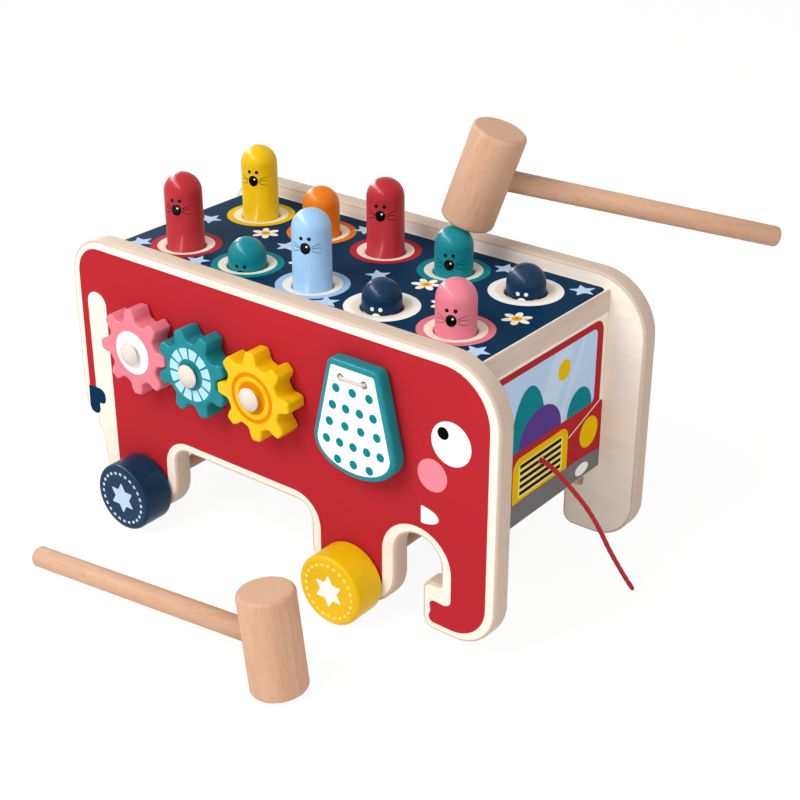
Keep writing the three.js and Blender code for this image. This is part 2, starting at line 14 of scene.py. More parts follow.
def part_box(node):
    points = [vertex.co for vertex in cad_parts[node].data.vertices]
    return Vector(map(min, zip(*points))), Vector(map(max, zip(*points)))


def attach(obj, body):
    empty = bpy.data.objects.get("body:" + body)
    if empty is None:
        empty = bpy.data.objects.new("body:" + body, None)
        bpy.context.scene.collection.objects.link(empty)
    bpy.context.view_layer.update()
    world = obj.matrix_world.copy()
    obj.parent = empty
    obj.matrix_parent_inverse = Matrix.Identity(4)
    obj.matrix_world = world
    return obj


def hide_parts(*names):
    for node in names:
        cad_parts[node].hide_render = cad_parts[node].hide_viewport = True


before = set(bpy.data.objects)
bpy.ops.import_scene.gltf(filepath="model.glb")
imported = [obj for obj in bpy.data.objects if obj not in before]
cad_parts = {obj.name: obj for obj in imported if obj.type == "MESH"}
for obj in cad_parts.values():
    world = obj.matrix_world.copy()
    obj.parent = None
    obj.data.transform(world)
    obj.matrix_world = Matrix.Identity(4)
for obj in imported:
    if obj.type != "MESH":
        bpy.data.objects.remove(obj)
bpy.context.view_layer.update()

MM = 0.001
PANEL_MIDDLE = 22.35
X, Y, Z = range(3)
SIDES = {"near": -1, "far": 1}
near_low, near_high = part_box("near_side_panel")
far_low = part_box("far_side_panel")[0]
SHIFT = Vector(((near_low.x + near_high.x) / 2 - PANEL_MIDDLE * MM, (near_high.y + far_low.y) / 2, 0))


def at(x, y, z):
    """A place of the toy in Blender's metres."""
    return Vector((x, y, z)) * MM + SHIFT


def box_mm(node):
    """A node's lowest and highest corners at rest, in the toy's millimetres."""
    return [[round(value, 3) for value in (corner - SHIFT) / MM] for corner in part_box(node)]


def middle(node, axis):
    low, high = box_mm(node)
    return (low[axis] + high[axis]) / 2


# Sizes that the frame gives

(PANEL_REAR, INNER_Y, PANEL_FOOT), (PANEL_FRONT, OUTER_Y, PANEL_TOP) = box_mm("far_side_panel")
(BOARD_REAR, _, BOARD_UNDER), (BOARD_FRONT, BOARD_HALF, BOARD_TOP) = box_mm("top_board")
(_, WHEEL_INNER, _), (_, WHEEL_OUTER, _) = box_mm("front_far_wheel")
WHEEL_R = middle("front_axle", Z)
AXLE_R = box_mm("front_axle")[1][Z] - WHEEL_R
GEAR_INNER, GEAR_OUTER = (-corner[Y] for corner in box_mm("middle_gear")[::-1])
GEAR_Z = middle("middle_gear_pin", Z)
GEAR_PITCH = middle("front_gear_pin", X) - middle("middle_gear_pin", X)
(_, EAR_INNER, EAR_LOW), (_, EAR_OUTER, EAR_TOP) = box_mm("far_ear")
EAR_X = middle("near_ear", X)
EAR_HOLE = middle("near_ear_elastic", Z)

PEG_R = 11.25
PEG_PAINT = {
    "near": ["red", "teal", "light_blue", "navy", "pink"],
    "far": ["yellow", "orange", "red", "teal", "navy"],
}


# Colours

def srgb(red, green, blue):
    """Linear light of an sRGB colour of 0 to 255."""
    def linear(value):
        value /= 255
        return value / 12.92 if value <= 0.04045 else ((value + 0.055) / 1.055) ** 2.4

    return (linear(red), linear(green), linear(blue), 1.0)


def level(value):
    return (value, value, value, 1.0)


def scaled(colour, factor):
    return (*(value * factor for value in colour[:3]), 1.0)


def toward(colour, other, share):
    return tuple(a + (b - a) * share for a, b in zip(colour, other))


COLOURS = {
    "red": srgb(182, 41, 50),
    "navy": srgb(4, 48, 80),
    "teal": srgb(8, 132, 143),
    "yellow": srgb(237, 192, 0),
    "pink": srgb(228, 127, 143),
    "orange": srgb(230, 122, 4),
    "light_blue": srgb(157, 199, 238),
    "sky": srgb(190, 217, 246),
    "ice": srgb(178, 224, 244),
    "glare": srgb(203, 225, 248),
    "white": srgb(252, 252, 250),
    "cream": srgb(251, 240, 224),
    "pale_yellow": srgb(254, 230, 120),
    "grey": srgb(124, 121, 122),
    "black": srgb(8, 5, 6),
    "amber": srgb(226, 134, 4),
    "purple": srgb(92, 62, 140),
    "cheek": srgb(246, 138, 152),
}
WHITE = COLOURS["white"]
BIRCH = srgb(253, 246, 234)
BIRCH_DARK = srgb(236, 216, 196)
BEECH = srgb(218, 178, 149)
BEECH_DARK = srgb(198, 151, 121)


# Materials

class Nodes:
    """Adds and links the nodes of a material or a world."""

    def __init__(self, owner):
        owner.use_nodes = True
        self.tree = owner.node_tree
        self.shader = self.tree.nodes.get("Principled BSDF")

    def feed(self, node, inputs):
        """Links each socket to another node's output, or sets it to a constant."""
        for name, value in inputs.items():
            if isinstance(value, bpy.types.NodeSocket):
                self.tree.links.new(value, node.inputs[name])
            else:
                node.inputs[name].default_value = value

    def add(self, kind, inputs, **settings):
        """Adds a node and gives its outputs."""
        node = self.tree.nodes.new(kind)
        for key, value in settings.items():
            setattr(node, key, value)
        self.feed(node, inputs)
        return node.outputs

    def coords(self, axis="X", along=1, across=1):
        """Object coordinates, scaled for a pattern that runs along one axis."""
        scale = [along if name == axis else across for name in "XYZ"]
        source = self.add("ShaderNodeTexCoord", {})["Object"]
        return self.add("ShaderNodeMapping", {"Vector": source, "Scale": scale})["Vector"]

    def noise(self, scale, detail, roughness, distortion=0.0, run=()):
        """Noise, drawn out along an axis if run has that axis and its two scales."""
        inputs = {"Scale": scale, "Detail": detail, "Roughness": roughness, "Distortion": distortion}
        return self.add("ShaderNodeTexNoise", {"Vector": self.coords(*run), **inputs})["Fac"]

    def ramp(self, share, *stops):
        colour = self.add("ShaderNodeValToRGB", {"Fac": share})["Color"]
        elements = colour.node.color_ramp.elements
        while len(elements) < len(stops):
            elements.new(0.5)
        for element, stop in zip(elements, stops):
            element.position, element.color = stop
        return colour

    def mix(self, share, a, b, blend="MIX"):
        """A mix of two colours; its sockets share their names, so they go by number."""
        return self.add("ShaderNodeMix", {0: share, 6: a, 7: b}, data_type="RGBA", blend_type=blend)[2]

    def span(self, value, start, end):
        """Maps the range start onto the range end."""
        ends = {"From Min": start[0], "From Max": start[1], "To Min": end[0], "To Max": end[1]}
        return self.add("ShaderNodeMapRange", {"Value": value, **ends})["Result"]

    def surface(self, colour, roughness, specular, coat=0.0, coat_roughness=0.03):
        self.feed(self.shader, {
            "Base Color": colour,
            "Roughness": roughness,
            "Specular IOR Level": specular,
            "Coat Weight": coat,
            "Coat Roughness": coat_roughness,
        })

    def bump(self, height, strength, distance=0.3 * MM):
        inputs = {"Height": height, "Strength": strength, "Distance": distance}
        self.feed(self.shader, {"Normal": self.add("ShaderNodeBump", inputs)["Normal"]})


MATERIALS = {}


def new_material(name):
    """The nodes of a new material, which MATERIALS has by its name."""
    MATERIALS[name] = bpy.data.materials.new(name)
    return Nodes(MATERIALS[name])


def painted(name, colour):
    """Satin lacquer over wood: faint grain in the film, slight mottling, paler edges."""
    n = new_material(name)
    grain = n.noise(scale=6.0, detail=4.0, roughness=0.6, run=("X", 12, 150))
    mottle = n.noise(scale=60.0, detail=3.0, roughness=0.55)
    shade = n.ramp(mottle, (0.3, scaled(colour, 0.94)), (0.7, toward(scaled(colour, 1.03), WHITE, 0.01)))
    pointed = n.add("ShaderNodeNewGeometry", {})["Pointiness"]
    edge = n.ramp(pointed, (0.53, level(0)), (0.62, level(0.175)))
    shade = n.mix(edge, shade, toward(colour, WHITE, 0.2))
    rough = n.span(mottle, (0.25, 0.75), (0.29, 0.41))
    n.surface(shade, rough, specular=0.08, coat=0.12, coat_roughness=0.07)
    n.bump(grain, strength=0.12)


def printed(name, colour):
    """A flat printed colour on a smooth board, with the fine grain under it."""
    n = new_material(name)
    grain = n.noise(scale=8.0, detail=4.0, roughness=0.6, run=("X", 12, 150))
    mottle = n.noise(scale=25.0, detail=2.0, roughness=0.5)
    shade = n.ramp(mottle, (0.35, scaled(colour, 0.965)), (0.65, scaled(colour, 1.015)))
    n.surface(shade, n.span(mottle, (0.25, 0.75), (0.46, 0.55)), specular=0.02)
    n.bump(grain, strength=0.06, distance=0.2 * MM)


def wood(name, light, dark, axis, figure=0.6, flecks=0.0):
    """Bare sanded wood: soft growth bands, fine pores and, in beech, ray flecks."""
    n = new_material(name)
    bands = n.noise(scale=7.0, detail=3.0, roughness=0.55, distortion=1.2, run=(axis, 1.6, 14))
    pores = n.noise(scale=9.0, detail=4.0, roughness=0.65, run=(axis, 6, 160))
    stops = (0.30, light), (0.52, toward(light, dark, figure * 0.55)), (0.72, toward(light, dark, figure))
    fine = n.ramp(pores, (0.35, level(1)), (0.75, toward(level(1), dark, 0.16)))
    shade = n.mix(1.0, n.ramp(bands, *stops), fine, "MULTIPLY")
    if flecks:
        spots = n.noise(scale=1.0, detail=2.0, roughness=0.4, run=(axis, 170, 900))
        mask = n.ramp(spots, (0.58, level(0)), (0.68, level(flecks)))
        shade = n.mix(mask, shade, scaled(dark, 0.82))
    n.surface(shade, n.span(pores, (0.3, 0.7), (0.49, 0.65)), specular=0.12)
    n.bump(pores, strength=0.14)


def end_grain(name, light, dark):
    """The cut end of a dowel: faint rings and open pores."""
    n = new_material(name)
    inputs = {"Vector": n.coords(), "Scale": 90.0, "Distortion": 2.5, "Detail": 2.0}
    rings = n.add("ShaderNodeTexWave", inputs, wave_type="RINGS", rings_direction="Z")["Fac"]
    pores = n.noise(scale=900.0, detail=2.0, roughness=0.5)
    base = n.ramp(rings, (0.2, light), (0.9, toward(light, dark, 0.1)))
    shade = n.mix(n.ramp(pores, (0.5, level(0)), (0.75, level(0.25))), base, dark)
    n.surface(shade, 0.6, specular=0.12)
    n.bump(pores, strength=0.2)


def ply_edge(name, light, dark, layer=1.3 * MM):
    """The cut edge of plywood: thin layers through the panel's thickness."""
    n = new_material(name)
    place = n.add("ShaderNodeTexCoord", {})["Object"]
    depth = n.add("ShaderNodeSeparateXYZ", {"Vector": place})["Y"]
    wobble = n.noise(scale=30.0, detail=2.0, roughness=0.5)
    uneven = n.add("ShaderNodeMath", {0: wobble, 1: 0.5 * MM, 2: depth}, operation="MULTIPLY_ADD")[0]
    layers = n.add("ShaderNodeMath", {0: uneven, 1: layer}, operation="PINGPONG")[0]
    fibres = n.noise(scale=4.0, detail=4.0, roughness=0.6, run=("Y", 900, 60))
    base = n.ramp(n.span(layers, (0.0, layer), (0.0, 1.0)), (0.40, light), (0.60, dark))
    fine = n.ramp(fibres, (0.3, level(1)), (0.75, (0.92, 0.89, 0.86, 1)))
    n.surface(n.mix(1.0, base, fine, "MULTIPLY"), 0.58, specular=0.12)
    n.bump(fibres, strength=0.18)


def gloss(name, colour, roughness):
    """Thick glossy paint, as on a mole's nose."""
    n = new_material(name)
    mottle = n.noise(scale=200.0, detail=2.0, roughness=0.5)
    shade = n.ramp(mottle, (0.3, colour), (0.7, scaled(colour, 1.05)))
    rough = n.span(mottle, (0.3, 0.7), (roughness, roughness + 0.06))
    n.surface(shade, rough, specular=0.1, coat=0.15, coat_roughness=0.05)


def woven(name, colour):
    """Braided yarn: fine fibres, soft unevenness and a little sheen."""
    n = new_material(name)
    fibres = n.noise(scale=1400.0, detail=3.0, roughness=0.6)
    soft = n.noise(scale=90.0, detail=2.0, roughness=0.5)
    shade = n.mix(n.span(fibres, (0.3, 0.7), (0.0, 1.0)), scaled(colour, 0.72), toward(colour, WHITE, 0.05))
    shade = n.mix(n.span(soft, (0.3, 0.7), (0.0, 0.25)), shade, scaled(colour, 0.8))
    n.surface(shade, 0.8, specular=0.1)
    n.feed(n.shader, {"Sheen Weight": 0.1})
    n.bump(fibres, strength=0.5, distance=0.4 * MM)


for key in ("red", "navy", "teal", "yellow", "pink", "orange", "light_blue"):
    painted(f"paint_{key}", COLOURS[key])
for key, colour in COLOURS.items():
    printed(f"print_{key}", colour)
wood("birch_face", BIRCH, BIRCH_DARK, "X", figure=0.35)
wood("birch_cross", BIRCH, BIRCH_DARK, "Y", figure=0.35)
wood("birch_round", srgb(250, 240, 226), BIRCH_DARK, "X", figure=0.25)
wood("bare_edge", srgb(226, 206, 192), srgb(206, 182, 164), "Y", figure=0.5)
wood("cap_wood", srgb(227, 217, 211), srgb(212, 198, 187), "X", figure=0.25)
ply_edge("ply_edge", srgb(220, 201, 185), srgb(214, 193, 176))
wood("beech_y", BEECH, BEECH_DARK, "Y", flecks=0.28)
wood("beech_z", BEECH, BEECH_DARK, "Z", flecks=0.28)
end_grain("beech_end", srgb(215, 176, 149), BEECH_DARK)
gloss("nose", COLOURS["black"], 0.12)
# This white is also the painted highlight dot on each black nose.
gloss("eye_and_glint_white", WHITE, 0.3)
woven("cord", srgb(202, 28, 44))
woven("elastic", srgb(226, 220, 214))


# Outlines: lists of (u, v) points, with angles in degrees

def arc(u, v, radius, first, last, steps, tall=None):
    """Points of a round stretch about (u, v), of a second radius up if it is oval."""
    angles = [radians(first + (last - first) * k / steps) for k in range(steps + 1)]
    rise = radius if tall is None else tall
    return [(u + radius * cos(a), v + rise * sin(a)) for a in angles]


def circle(u, v, radius, tall=None, steps=48):
    return arc(u, v, radius, 0, 360, steps, tall)[:-1]


def polar(u, v, reach, angle):
    """The point at a reach and an angle from (u, v)."""
    return (u + reach * cos(radians(angle)), v + reach * sin(radians(angle)))


def rounded(corners, steps=8):
    """A closed outline through (u, v, radius) corners, each rounded."""
    points = []
    for i, (u, v, radius) in enumerate(corners):
        if radius <= 0:
            points.append((u, v))
            continue
        corner = Vector((u, v))
        back = (Vector(corners[i - 1][:2]) - corner).normalized()
        on = (Vector(corners[(i + 1) % len(corners)][:2]) - corner).normalized()
        half = acos(max(-1, min(1, back.dot(on)))) / 2
        start = corner + back * (radius / tan(half))
        centre = corner + (back + on).normalized() * (radius / sin(half))
        first = degrees(atan2(start.y - centre.y, start.x - centre.x))
        sweep = degrees(pi - 2 * half)
        last = first - copysign(sweep, back.cross(on))
        points += arc(centre.x, centre.y, radius, first, last, max(2, ceil(steps * sweep / 90)))
    return points


def block(u0, u1, v0, v1, low_round, high_round=None, steps=8):
    """A rectangle with rounded corners, the upper ones of their own radius if given."""
    high = low_round if high_round is None else high_round
    return rounded([(u0, v0, low_round), (u1, v0, low_round), (u1, v1, high), (u0, v1, high)], steps)


def star(u, v, outer, inner, tips, turn, tip_round):
    angles = [(k, turn + 180 * k / tips) for k in range(2 * tips)]
    return rounded([(*polar(u, v, inner if k % 2 else outer, angle), tip_round) for k, angle in angles], 6)


def wedge(inner, outer, first, last, steps=5):
    return arc(0, 0, outer, first, last, steps) + arc(0, 0, inner, last, first, steps)


def bezier(*controls, steps):
    """Points along a Bezier curve of any degree."""
    points = []
    for k in range(steps + 1):
        row = controls
        while len(row) > 1:
            row = [tuple(p + (q - p) * k / steps for p, q in zip(a, b)) for a, b in zip(row, row[1:])]
        points.append(row[0])
    return points


def drum(radius, low, high, edge, steps):
    """The profile of a round side between two rounded rims."""
    rim = radius - edge
    return arc(rim, low + edge, edge, -90, 0, steps) + arc(rim, high - edge, edge, 0, 90, steps)


def spun(points, angle, u=0, v=0):
    """The points turned about the origin and then moved to (u, v)."""
    c, s = polar(0, 0, 1, angle)
    return [(u + p * c - q * s, v + p * s + q * c) for p, q in points]


def tidy(points, least=1e-4):
    """The outline anticlockwise, without points that fall on their neighbours."""
    points = [p for i, p in enumerate(points) if dist(p, points[i - 1]) > least]
    area = sum(points[i - 1][0] * p[1] - p[0] * points[i - 1][1] for i, p in enumerate(points))
    return points if area > 0 else points[::-1]


def inset(points, distance, least_slope=0.35):
    """The outline moved inwards by a distance, corner by corner."""
    moved = []
    for before, point, after in zip(points[-1:] + points, points, points[1:] + points[:1]):
        p = Vector(point)
        a, b = (p - Vector(before)).normalized(), (Vector(after) - p).normalized()
        normal = (a + b).orthogonal().normalized()
        slope = max(least_slope, normal.dot(a.orthogonal()))
        moved.append(tuple(p + normal * (distance / slope)))
    return moved


# Meshes

class Surface:
    """Points and faces as they are gathered, with each face's slot and shading."""

    def __init__(self):
        self.points, self.faces, self.slots, self.smooth = [], [], [], []

    def add(self, points):
        """Adds points and gives their numbers."""
        start = len(self.points)
        self.points += points
        return list(range(start, len(self.points)))

    def face(self, corners, slot=0, smooth=True):
        self.faces.append(tuple(corners))
        self.slots.append(slot)
        self.smooth.append(smooth)

    def band(self, lower, upper, slot=0, smooth=True):
        """A strip between two rings of point numbers. A ring of one is a pole,
        where two of a face's corners are the same."""
        count = max(len(lower), len(upper))
        lower, upper = (ring * (count // len(ring)) for ring in (lower, upper))
        for i in range(count):
            j = (i + 1) % count
            self.face(dict.fromkeys((lower[i], lower[j], upper[j], upper[i])), slot, smooth)

    def loft(self, rings, slots=None, flats=()):
        """Bands from ring to ring. flats lists those that aren't shaded as round."""
        for k, (lower, upper) in enumerate(zip(rings, rings[1:])):
            self.band(lower, upper, slots[k] if slots else 0, k not in flats)

    def lid(self, rings, a, b):
        """A flat face in the axes a and b, from its outer ring and the rings of its holes."""
        loops = [[Vector((self.points[i][a], self.points[i][b], 0)) for i in ring] for ring in rings]
        numbers = [i for ring in rings for i in ring]
        for triangle in tessellate_polygon(loops):
            self.face([numbers[t] for t in triangle], smooth=False)


def new_object(name, data):
    thing = bpy.data.objects.new(name, data)
    bpy.context.scene.collection.objects.link(thing)
    return thing


def weld(mesh):
    """Joins points that coincide and turns every face outwards."""
    b = bmesh.new()
    b.from_mesh(mesh)
    bmesh.ops.remove_doubles(b, verts=b.verts, dist=1e-4 * MM)
    bmesh.ops.recalc_face_normals(b, faces=b.faces)
    b.to_mesh(mesh)
    b.free()


def finish(name, surface, materials, body, nodes=(), place=None, closed=True):
    """Makes the piece, which rides on its body. Its points are in the toy's
    frame, or about the piece's own place if one is given."""
    mesh = bpy.data.meshes.new(name)
    points = [at(*p) if place is None else Vector(p) * MM for p in surface.points]
    mesh.from_pydata(points, [], surface.faces)
    for key in materials:
        mesh.materials.append(MATERIALS[key])
    mesh.polygons.foreach_set("material_index", surface.slots)
    mesh.polygons.foreach_set("use_smooth", surface.smooth)
    if closed:
        weld(mesh)
    piece = new_object(name, mesh)
    if place is not None:
        piece.matrix_world = place
    bpy.context.view_layer.update()
    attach(piece, body)
    if nodes:
        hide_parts(*nodes)
    return piece


def plate(name, outline, start, end, materials, body, node, holes=(), rounding=1.6, segments=5, axis=Y):
    """A board with rounded edges that fills its axis from start to end. The first
    material is on its faces, the second on its edge and the last in its holes."""
    def placed(points, depth):
        return [(u, depth, v) if axis == Y else (depth, u, v) for u, v in points]

    surface = Surface()
    outline = tidy(outline)
    inward = copysign(rounding, end - start)
    angles = [radians(90 * k / segments) for k in range(segments + 1)]
    rings = []
    for face, step, turns in ((start, inward, angles), (end, -inward, angles[::-1])):
        for turn in turns:
            ring = inset(outline, rounding * (1 - sin(turn)))
            rings.append(surface.add(placed(ring, face + step * (1 - cos(turn)))))
    surface.loft(rings, [min(1, len(materials) - 1)] * len(rings))
    lids = [rings[0]], [rings[-1]]
    for hole in holes:
        rims = [surface.add(placed(hole, depth)) for depth in (start, end)]
        surface.band(*rims, len(materials) - 1)
        for lid, rim in zip(lids, rims):
            lid.append(rim)
    for lid in lids:
        surface.lid(lid, X if axis == Y else Y, Z)
    return finish(name, surface, materials, body, [node])


def turned(name, profile, materials, body, node, centre=(0, 0, 0), side=0, around=64, slots=None, flats=(),
           place=None):
    """A revolved piece. Its profile is (radius, height) from the axis back to the
    axis, with height up, or out to one side of the toy."""
    surface = Surface()
    rings = []
    for radius, height in profile:
        ring = circle(0, 0, radius, steps=around) if radius > 1e-6 else [(0, 0)]
        ring = [(u, side * height, -side * v) if side else (u, v, height) for u, v in ring]
        rings.append(surface.add([tuple(p + c for p, c in zip(point, centre)) for point in ring]))
    surface.loft(rings, slots, flats)
    return finish(name, surface, materials, body, [node], place)


class Art:
    """Thin printed shapes over one flat face, gathered into one mesh."""

    lowest, layer_step = 0.05, 0.03

    def __init__(self, name, body, place_of, mirror=1):
        self.name, self.body, self.place_of, self.mirror = name, body, place_of, mirror
        self.surface, self.inks = Surface(), []

    def draw(self, outline, ink, layer=0, holes=()):
        if ink not in self.inks:
            self.inks.append(ink)
        loops = [[(self.mirror * u, v) for u, v in loop] for loop in (outline, *holes)]
        loops = [tidy(loop)[::-1 if k else 1] for k, loop in enumerate(loops)]
        flat = [point for loop in loops for point in loop]
        lift = self.lowest + self.layer_step * layer
        numbers = self.surface.add([self.place_of(u, v, lift) for u, v in flat])
        for triangle in tessellate_polygon([[Vector((u, v, 0)) for u, v in loop] for loop in loops]):
            a, b, c = (flat[t] for t in triangle)
            area = (b[0] - a[0]) * (c[1] - a[1]) - (b[1] - a[1]) * (c[0] - a[0])
            if abs(area) > 1e-9:
                corners = [numbers[t] for t in triangle]
                self.surface.face(corners if area > 0 else corners[::-1], self.inks.index(ink), smooth=False)

    def build(self):
        finish(self.name, self.surface, [f"print_{ink}" for ink in self.inks], self.body, closed=False)


def on_side(side, y, x=0, z=0):
    """Places of a print that looks out of the toy's side, y from its middle."""
    return lambda u, v, lift: (x - side * u, side * (y + lift), z + v)


def smooth_path(points, between):
    """A Catmull-Rom line through the points."""
    p = [Vector(q) for q in points]
    p = [2 * p[0] - p[1]] + p + [2 * p[-1] - p[-2]]
    path = []
    for a, b, c, d in zip(p, p[1:], p[2:], p[3:]):
        slope, bend, twist = c - a, 2 * a - 5 * b + 4 * c - d, 3 * b - a - 3 * c + d
        for t in (k / between for k in range(between)):
            path.append(0.5 * (2 * b + slope * t + bend * t * t + twist * t ** 3))
    return path + [p[-2]]


def rope(name, path, radius, material, body, node, around, pitch, relief, taper=0.0, strands=8):
    """A round braid along a path, its strands raised by a little relief. A taper
    draws in the last two steps of its far end."""
    surface = Surface()
    side = (path[1] - path[0]).normalized().orthogonal().normalized()
    travelled = 0.0
    last = len(path) - 1
    rings = []
    for i, p in enumerate(path):
        tangent = (path[min(i + 1, last)] - path[max(i - 1, 0)]).normalized()
        side = (side - tangent * side.dot(tangent)).normalized()
        up = tangent.cross(side)
        travelled += (p - path[max(i - 1, 0)]).length
        twist = 2 * pi * travelled / pitch
        shrink = 1 - taper * max(0, 1 - (last - i) / 2)
        ring = []
        for k in range(around):
            a = 2 * pi * k / around
            plait = max(sin(strands / 2 * a + twist), sin(strands / 2 * a - twist))
            reach = (radius - relief * (1 - plait)) * shrink
            ring.append(p + (side * cos(a) + up * sin(a)) * reach)
        rings.append(surface.add(ring))
    surface.loft(rings)
    surface.band(surface.add(path[:1]), rings[0])
    surface.band(rings[-1], surface.add(path[-1:]))
    return finish(name, surface, [material], body, [node])


# Camera, lights and stage

CAMERA_PLACE = (560.868, -644.995, 507.149)
CAMERA_RIGHT = (0.78716, 0.61675, 0.00071)
CAMERA_AHEAD = (-0.54997, 0.70246, -0.45175)
LENS = 70.38
LAMP_AIM = at(20, 0, 90)
STREAK_AIM = at(20, 0, 190)
STREAK_ENDS = at(-1711, 1235, 231), at(1383, -2711, 1625)
FLOOR_HALF = 6000 * MM
FLOOR_DROP = 0.2 * MM


def add_camera():
    data = bpy.data.cameras.new("camera")
    data.lens = LENS
    data.clip_start = 10 * MM
    camera = new_object("camera", data)
    right = Vector(CAMERA_RIGHT).normalized()
    ahead = Vector(CAMERA_AHEAD).normalized()
    up = right.cross(ahead).normalized()
    turn = Matrix((right, up, -ahead)).transposed().to_4x4()
    camera.matrix_world = Matrix.Translation(at(*CAMERA_PLACE)) @ turn
    bpy.context.scene.camera = camera


def pale_rays(n):
    """One for camera, glossy and transmission rays, which see the white studio."""
    rays = n.add("ShaderNodeLightPath", {})
    total = rays["Is Camera Ray"]
    for kind in ("Is Glossy Ray", "Is Transmission Ray"):
        total = n.add("ShaderNodeMath", {0: total, 1: rays[kind]}, operation="MAXIMUM")[0]
    return total


def add_world():
    """A soft warm light all round, in front of a white background."""
    world = bpy.data.worlds.new("studio")
    bpy.context.scene.world = world
    n = Nodes(world)
    light = n.tree.nodes["Background"]
    n.feed(light, {"Color": (1.0, 0.98, 0.955, 1), "Strength": 0.5})
    white = n.add("ShaderNodeBackground", {"Color": level(1), "Strength": 1.0})
    mix = n.add("ShaderNodeMixShader", {0: pale_rays(n), 1: light.outputs[0], 2: white[0]})
    n.feed(n.tree.nodes["World Output"], {"Surface": mix[0]})


def area_lamp(name, energy, place, size, shape="RECTANGLE", colour=(1, 1, 1)):
    data = bpy.data.lights.new(name, "AREA")
    data.shape = shape
    data.size, data.size_y = (length * MM for length in size)
    data.energy = energy
    data.color = colour
    lamp = new_object(name, data)
    lamp.location = place
    lamp.rotation_euler = (LAMP_AIM - lamp.location).to_track_quat("-Z", "Y").to_euler()
    return lamp


def add_streak_lamp():
    """A long bar beside the toy that only shows as the streak on each peg's dome."""
    start, end = STREAK_ENDS
    lamp = area_lamp("streak", 58, (start + end) / 2, ((end - start).length / MM, 160))
    along = (end - start).normalized()
    back = lamp.location - STREAK_AIM
    back = (back - along * back.dot(along)).normalized()
    lamp.rotation_euler = Matrix((along, back.cross(along), back)).transposed().to_euler()
    lamp.visible_diffuse = False
    lamp.visible_camera = False


def add_lamps():
    key = area_lamp("key", 14.2, at(-250, -980, 1150), (900, 900), "DISK", (1.0, 0.985, 0.96))
    fill = area_lamp("fill", 3.25, at(920, -900, 620), (1200, 800))
    key.visible_glossy = fill.visible_glossy = False
    add_streak_lamp()


def floor_material():
    """Pale grey that keeps the shadow, and looks white to the pale rays."""
    n = new_material("floor")
    n.surface(level(0.93), 0.9, specular=0.1)
    glow = n.add("ShaderNodeEmission", {"Color": level(1), "Strength": 1.06})
    share = n.add("ShaderNodeMath", {0: pale_rays(n), 1: 0.87}, operation="MULTIPLY")
    mix = n.add("ShaderNodeMixShader", {0: share[0], 1: n.shader.outputs[0], 2: glow[0]})
    n.feed(n.tree.nodes["Material Output"], {"Surface": mix[0]})


def add_floor():
    mesh = bpy.data.meshes.new("floor")
    corners = [(x * FLOOR_HALF, y * FLOOR_HALF, 0) for x, y in ((-1, -1), (1, -1), (1, 1), (-1, 1))]
    mesh.from_pydata(corners, [], [(0, 1, 2, 3)])
    floor_material()
    mesh.materials.append(MATERIALS["floor"])
    floor = new_object("floor", mesh)
    floor.location.z = -FLOOR_DROP


# Pull cord

CORD_ROUTE = [
    (0.0, 0.0, 0.0), (1.8, 0.0, 0.0), (4.2, 1.2, -1.8), (7.6, 3.8, -6.0), (11.6, 7.4, -12.4),
    (16.0, 10.9, -19.6), (20.8, 14.5, -27.6), (25.2, 17.8, -36.4), (29.2, 21.0, -46.2),
    (32.9, 23.9, -56.2), (37.0, 27.0, -66.0), (41.4, 30.2, -75.6), (45.6, 33.3, -84.1),
]
CORD_HEIGHT = BOARD_UNDER - 68.1
CORD_START = (BOARD_FRONT + 0.3, 0.0, CORD_HEIGHT)
CORD_R = 1.42
CORD_HOLE_R = 2.1
CORD_PRINT_GAP = 0.3


def add_cord():
    path = [Vector(CORD_START) + q for q in smooth_path(CORD_ROUTE, 18)]
    cord = rope("pull_cord_braid", path, CORD_R, "cord", "toy_body", "pull_cord",
                around=24, pitch=5.2, relief=0.13, taper=0.5)


# Side panels, of (x, z, radius) corners

TAIL_FRONT, TAIL_LOW = PANEL_REAR + 9.8, 57.0
HIND_REAR, HIND_FRONT = -120.0, -56.3
FORE_REAR, FORE_FRONT = 51.9, 112.3
TRUNK_REAR, TRUNK_TIP, TRUNK_FOOT, TRUNK_LIP = 143.5, 131.6, 7.7, 37.9
BELLY, ARCH = 55.2, 64.0
PANEL_CORNERS = [
    (PANEL_FRONT, PANEL_TOP, 35.5), (PANEL_REAR, PANEL_TOP, 27), (PANEL_REAR, TAIL_LOW + 16, 12),
    (PANEL_REAR + 2.4, TAIL_LOW, 3), (TAIL_FRONT, TAIL_LOW, 1), (TAIL_FRONT, TAIL_LOW - 7, 4),
    (HIND_REAR, TAIL_LOW - 17, 4), (HIND_REAR, PANEL_FOOT, 25), (HIND_FRONT, PANEL_FOOT, 25),
    (HIND_FRONT, BELLY, 10.5), (FORE_REAR, BELLY, 10.5), (FORE_REAR, PANEL_FOOT, 25),
    (FORE_FRONT, PANEL_FOOT, 25), (FORE_FRONT, ARCH, 15.6), (TRUNK_REAR, ARCH, 15.6),
    (TRUNK_REAR, TRUNK_LIP, 1.6), (TRUNK_TIP, TRUNK_LIP, 5.5), (TRUNK_TIP, TRUNK_FOOT, 7),
    (PANEL_FRONT, TRUNK_FOOT, 27),
]

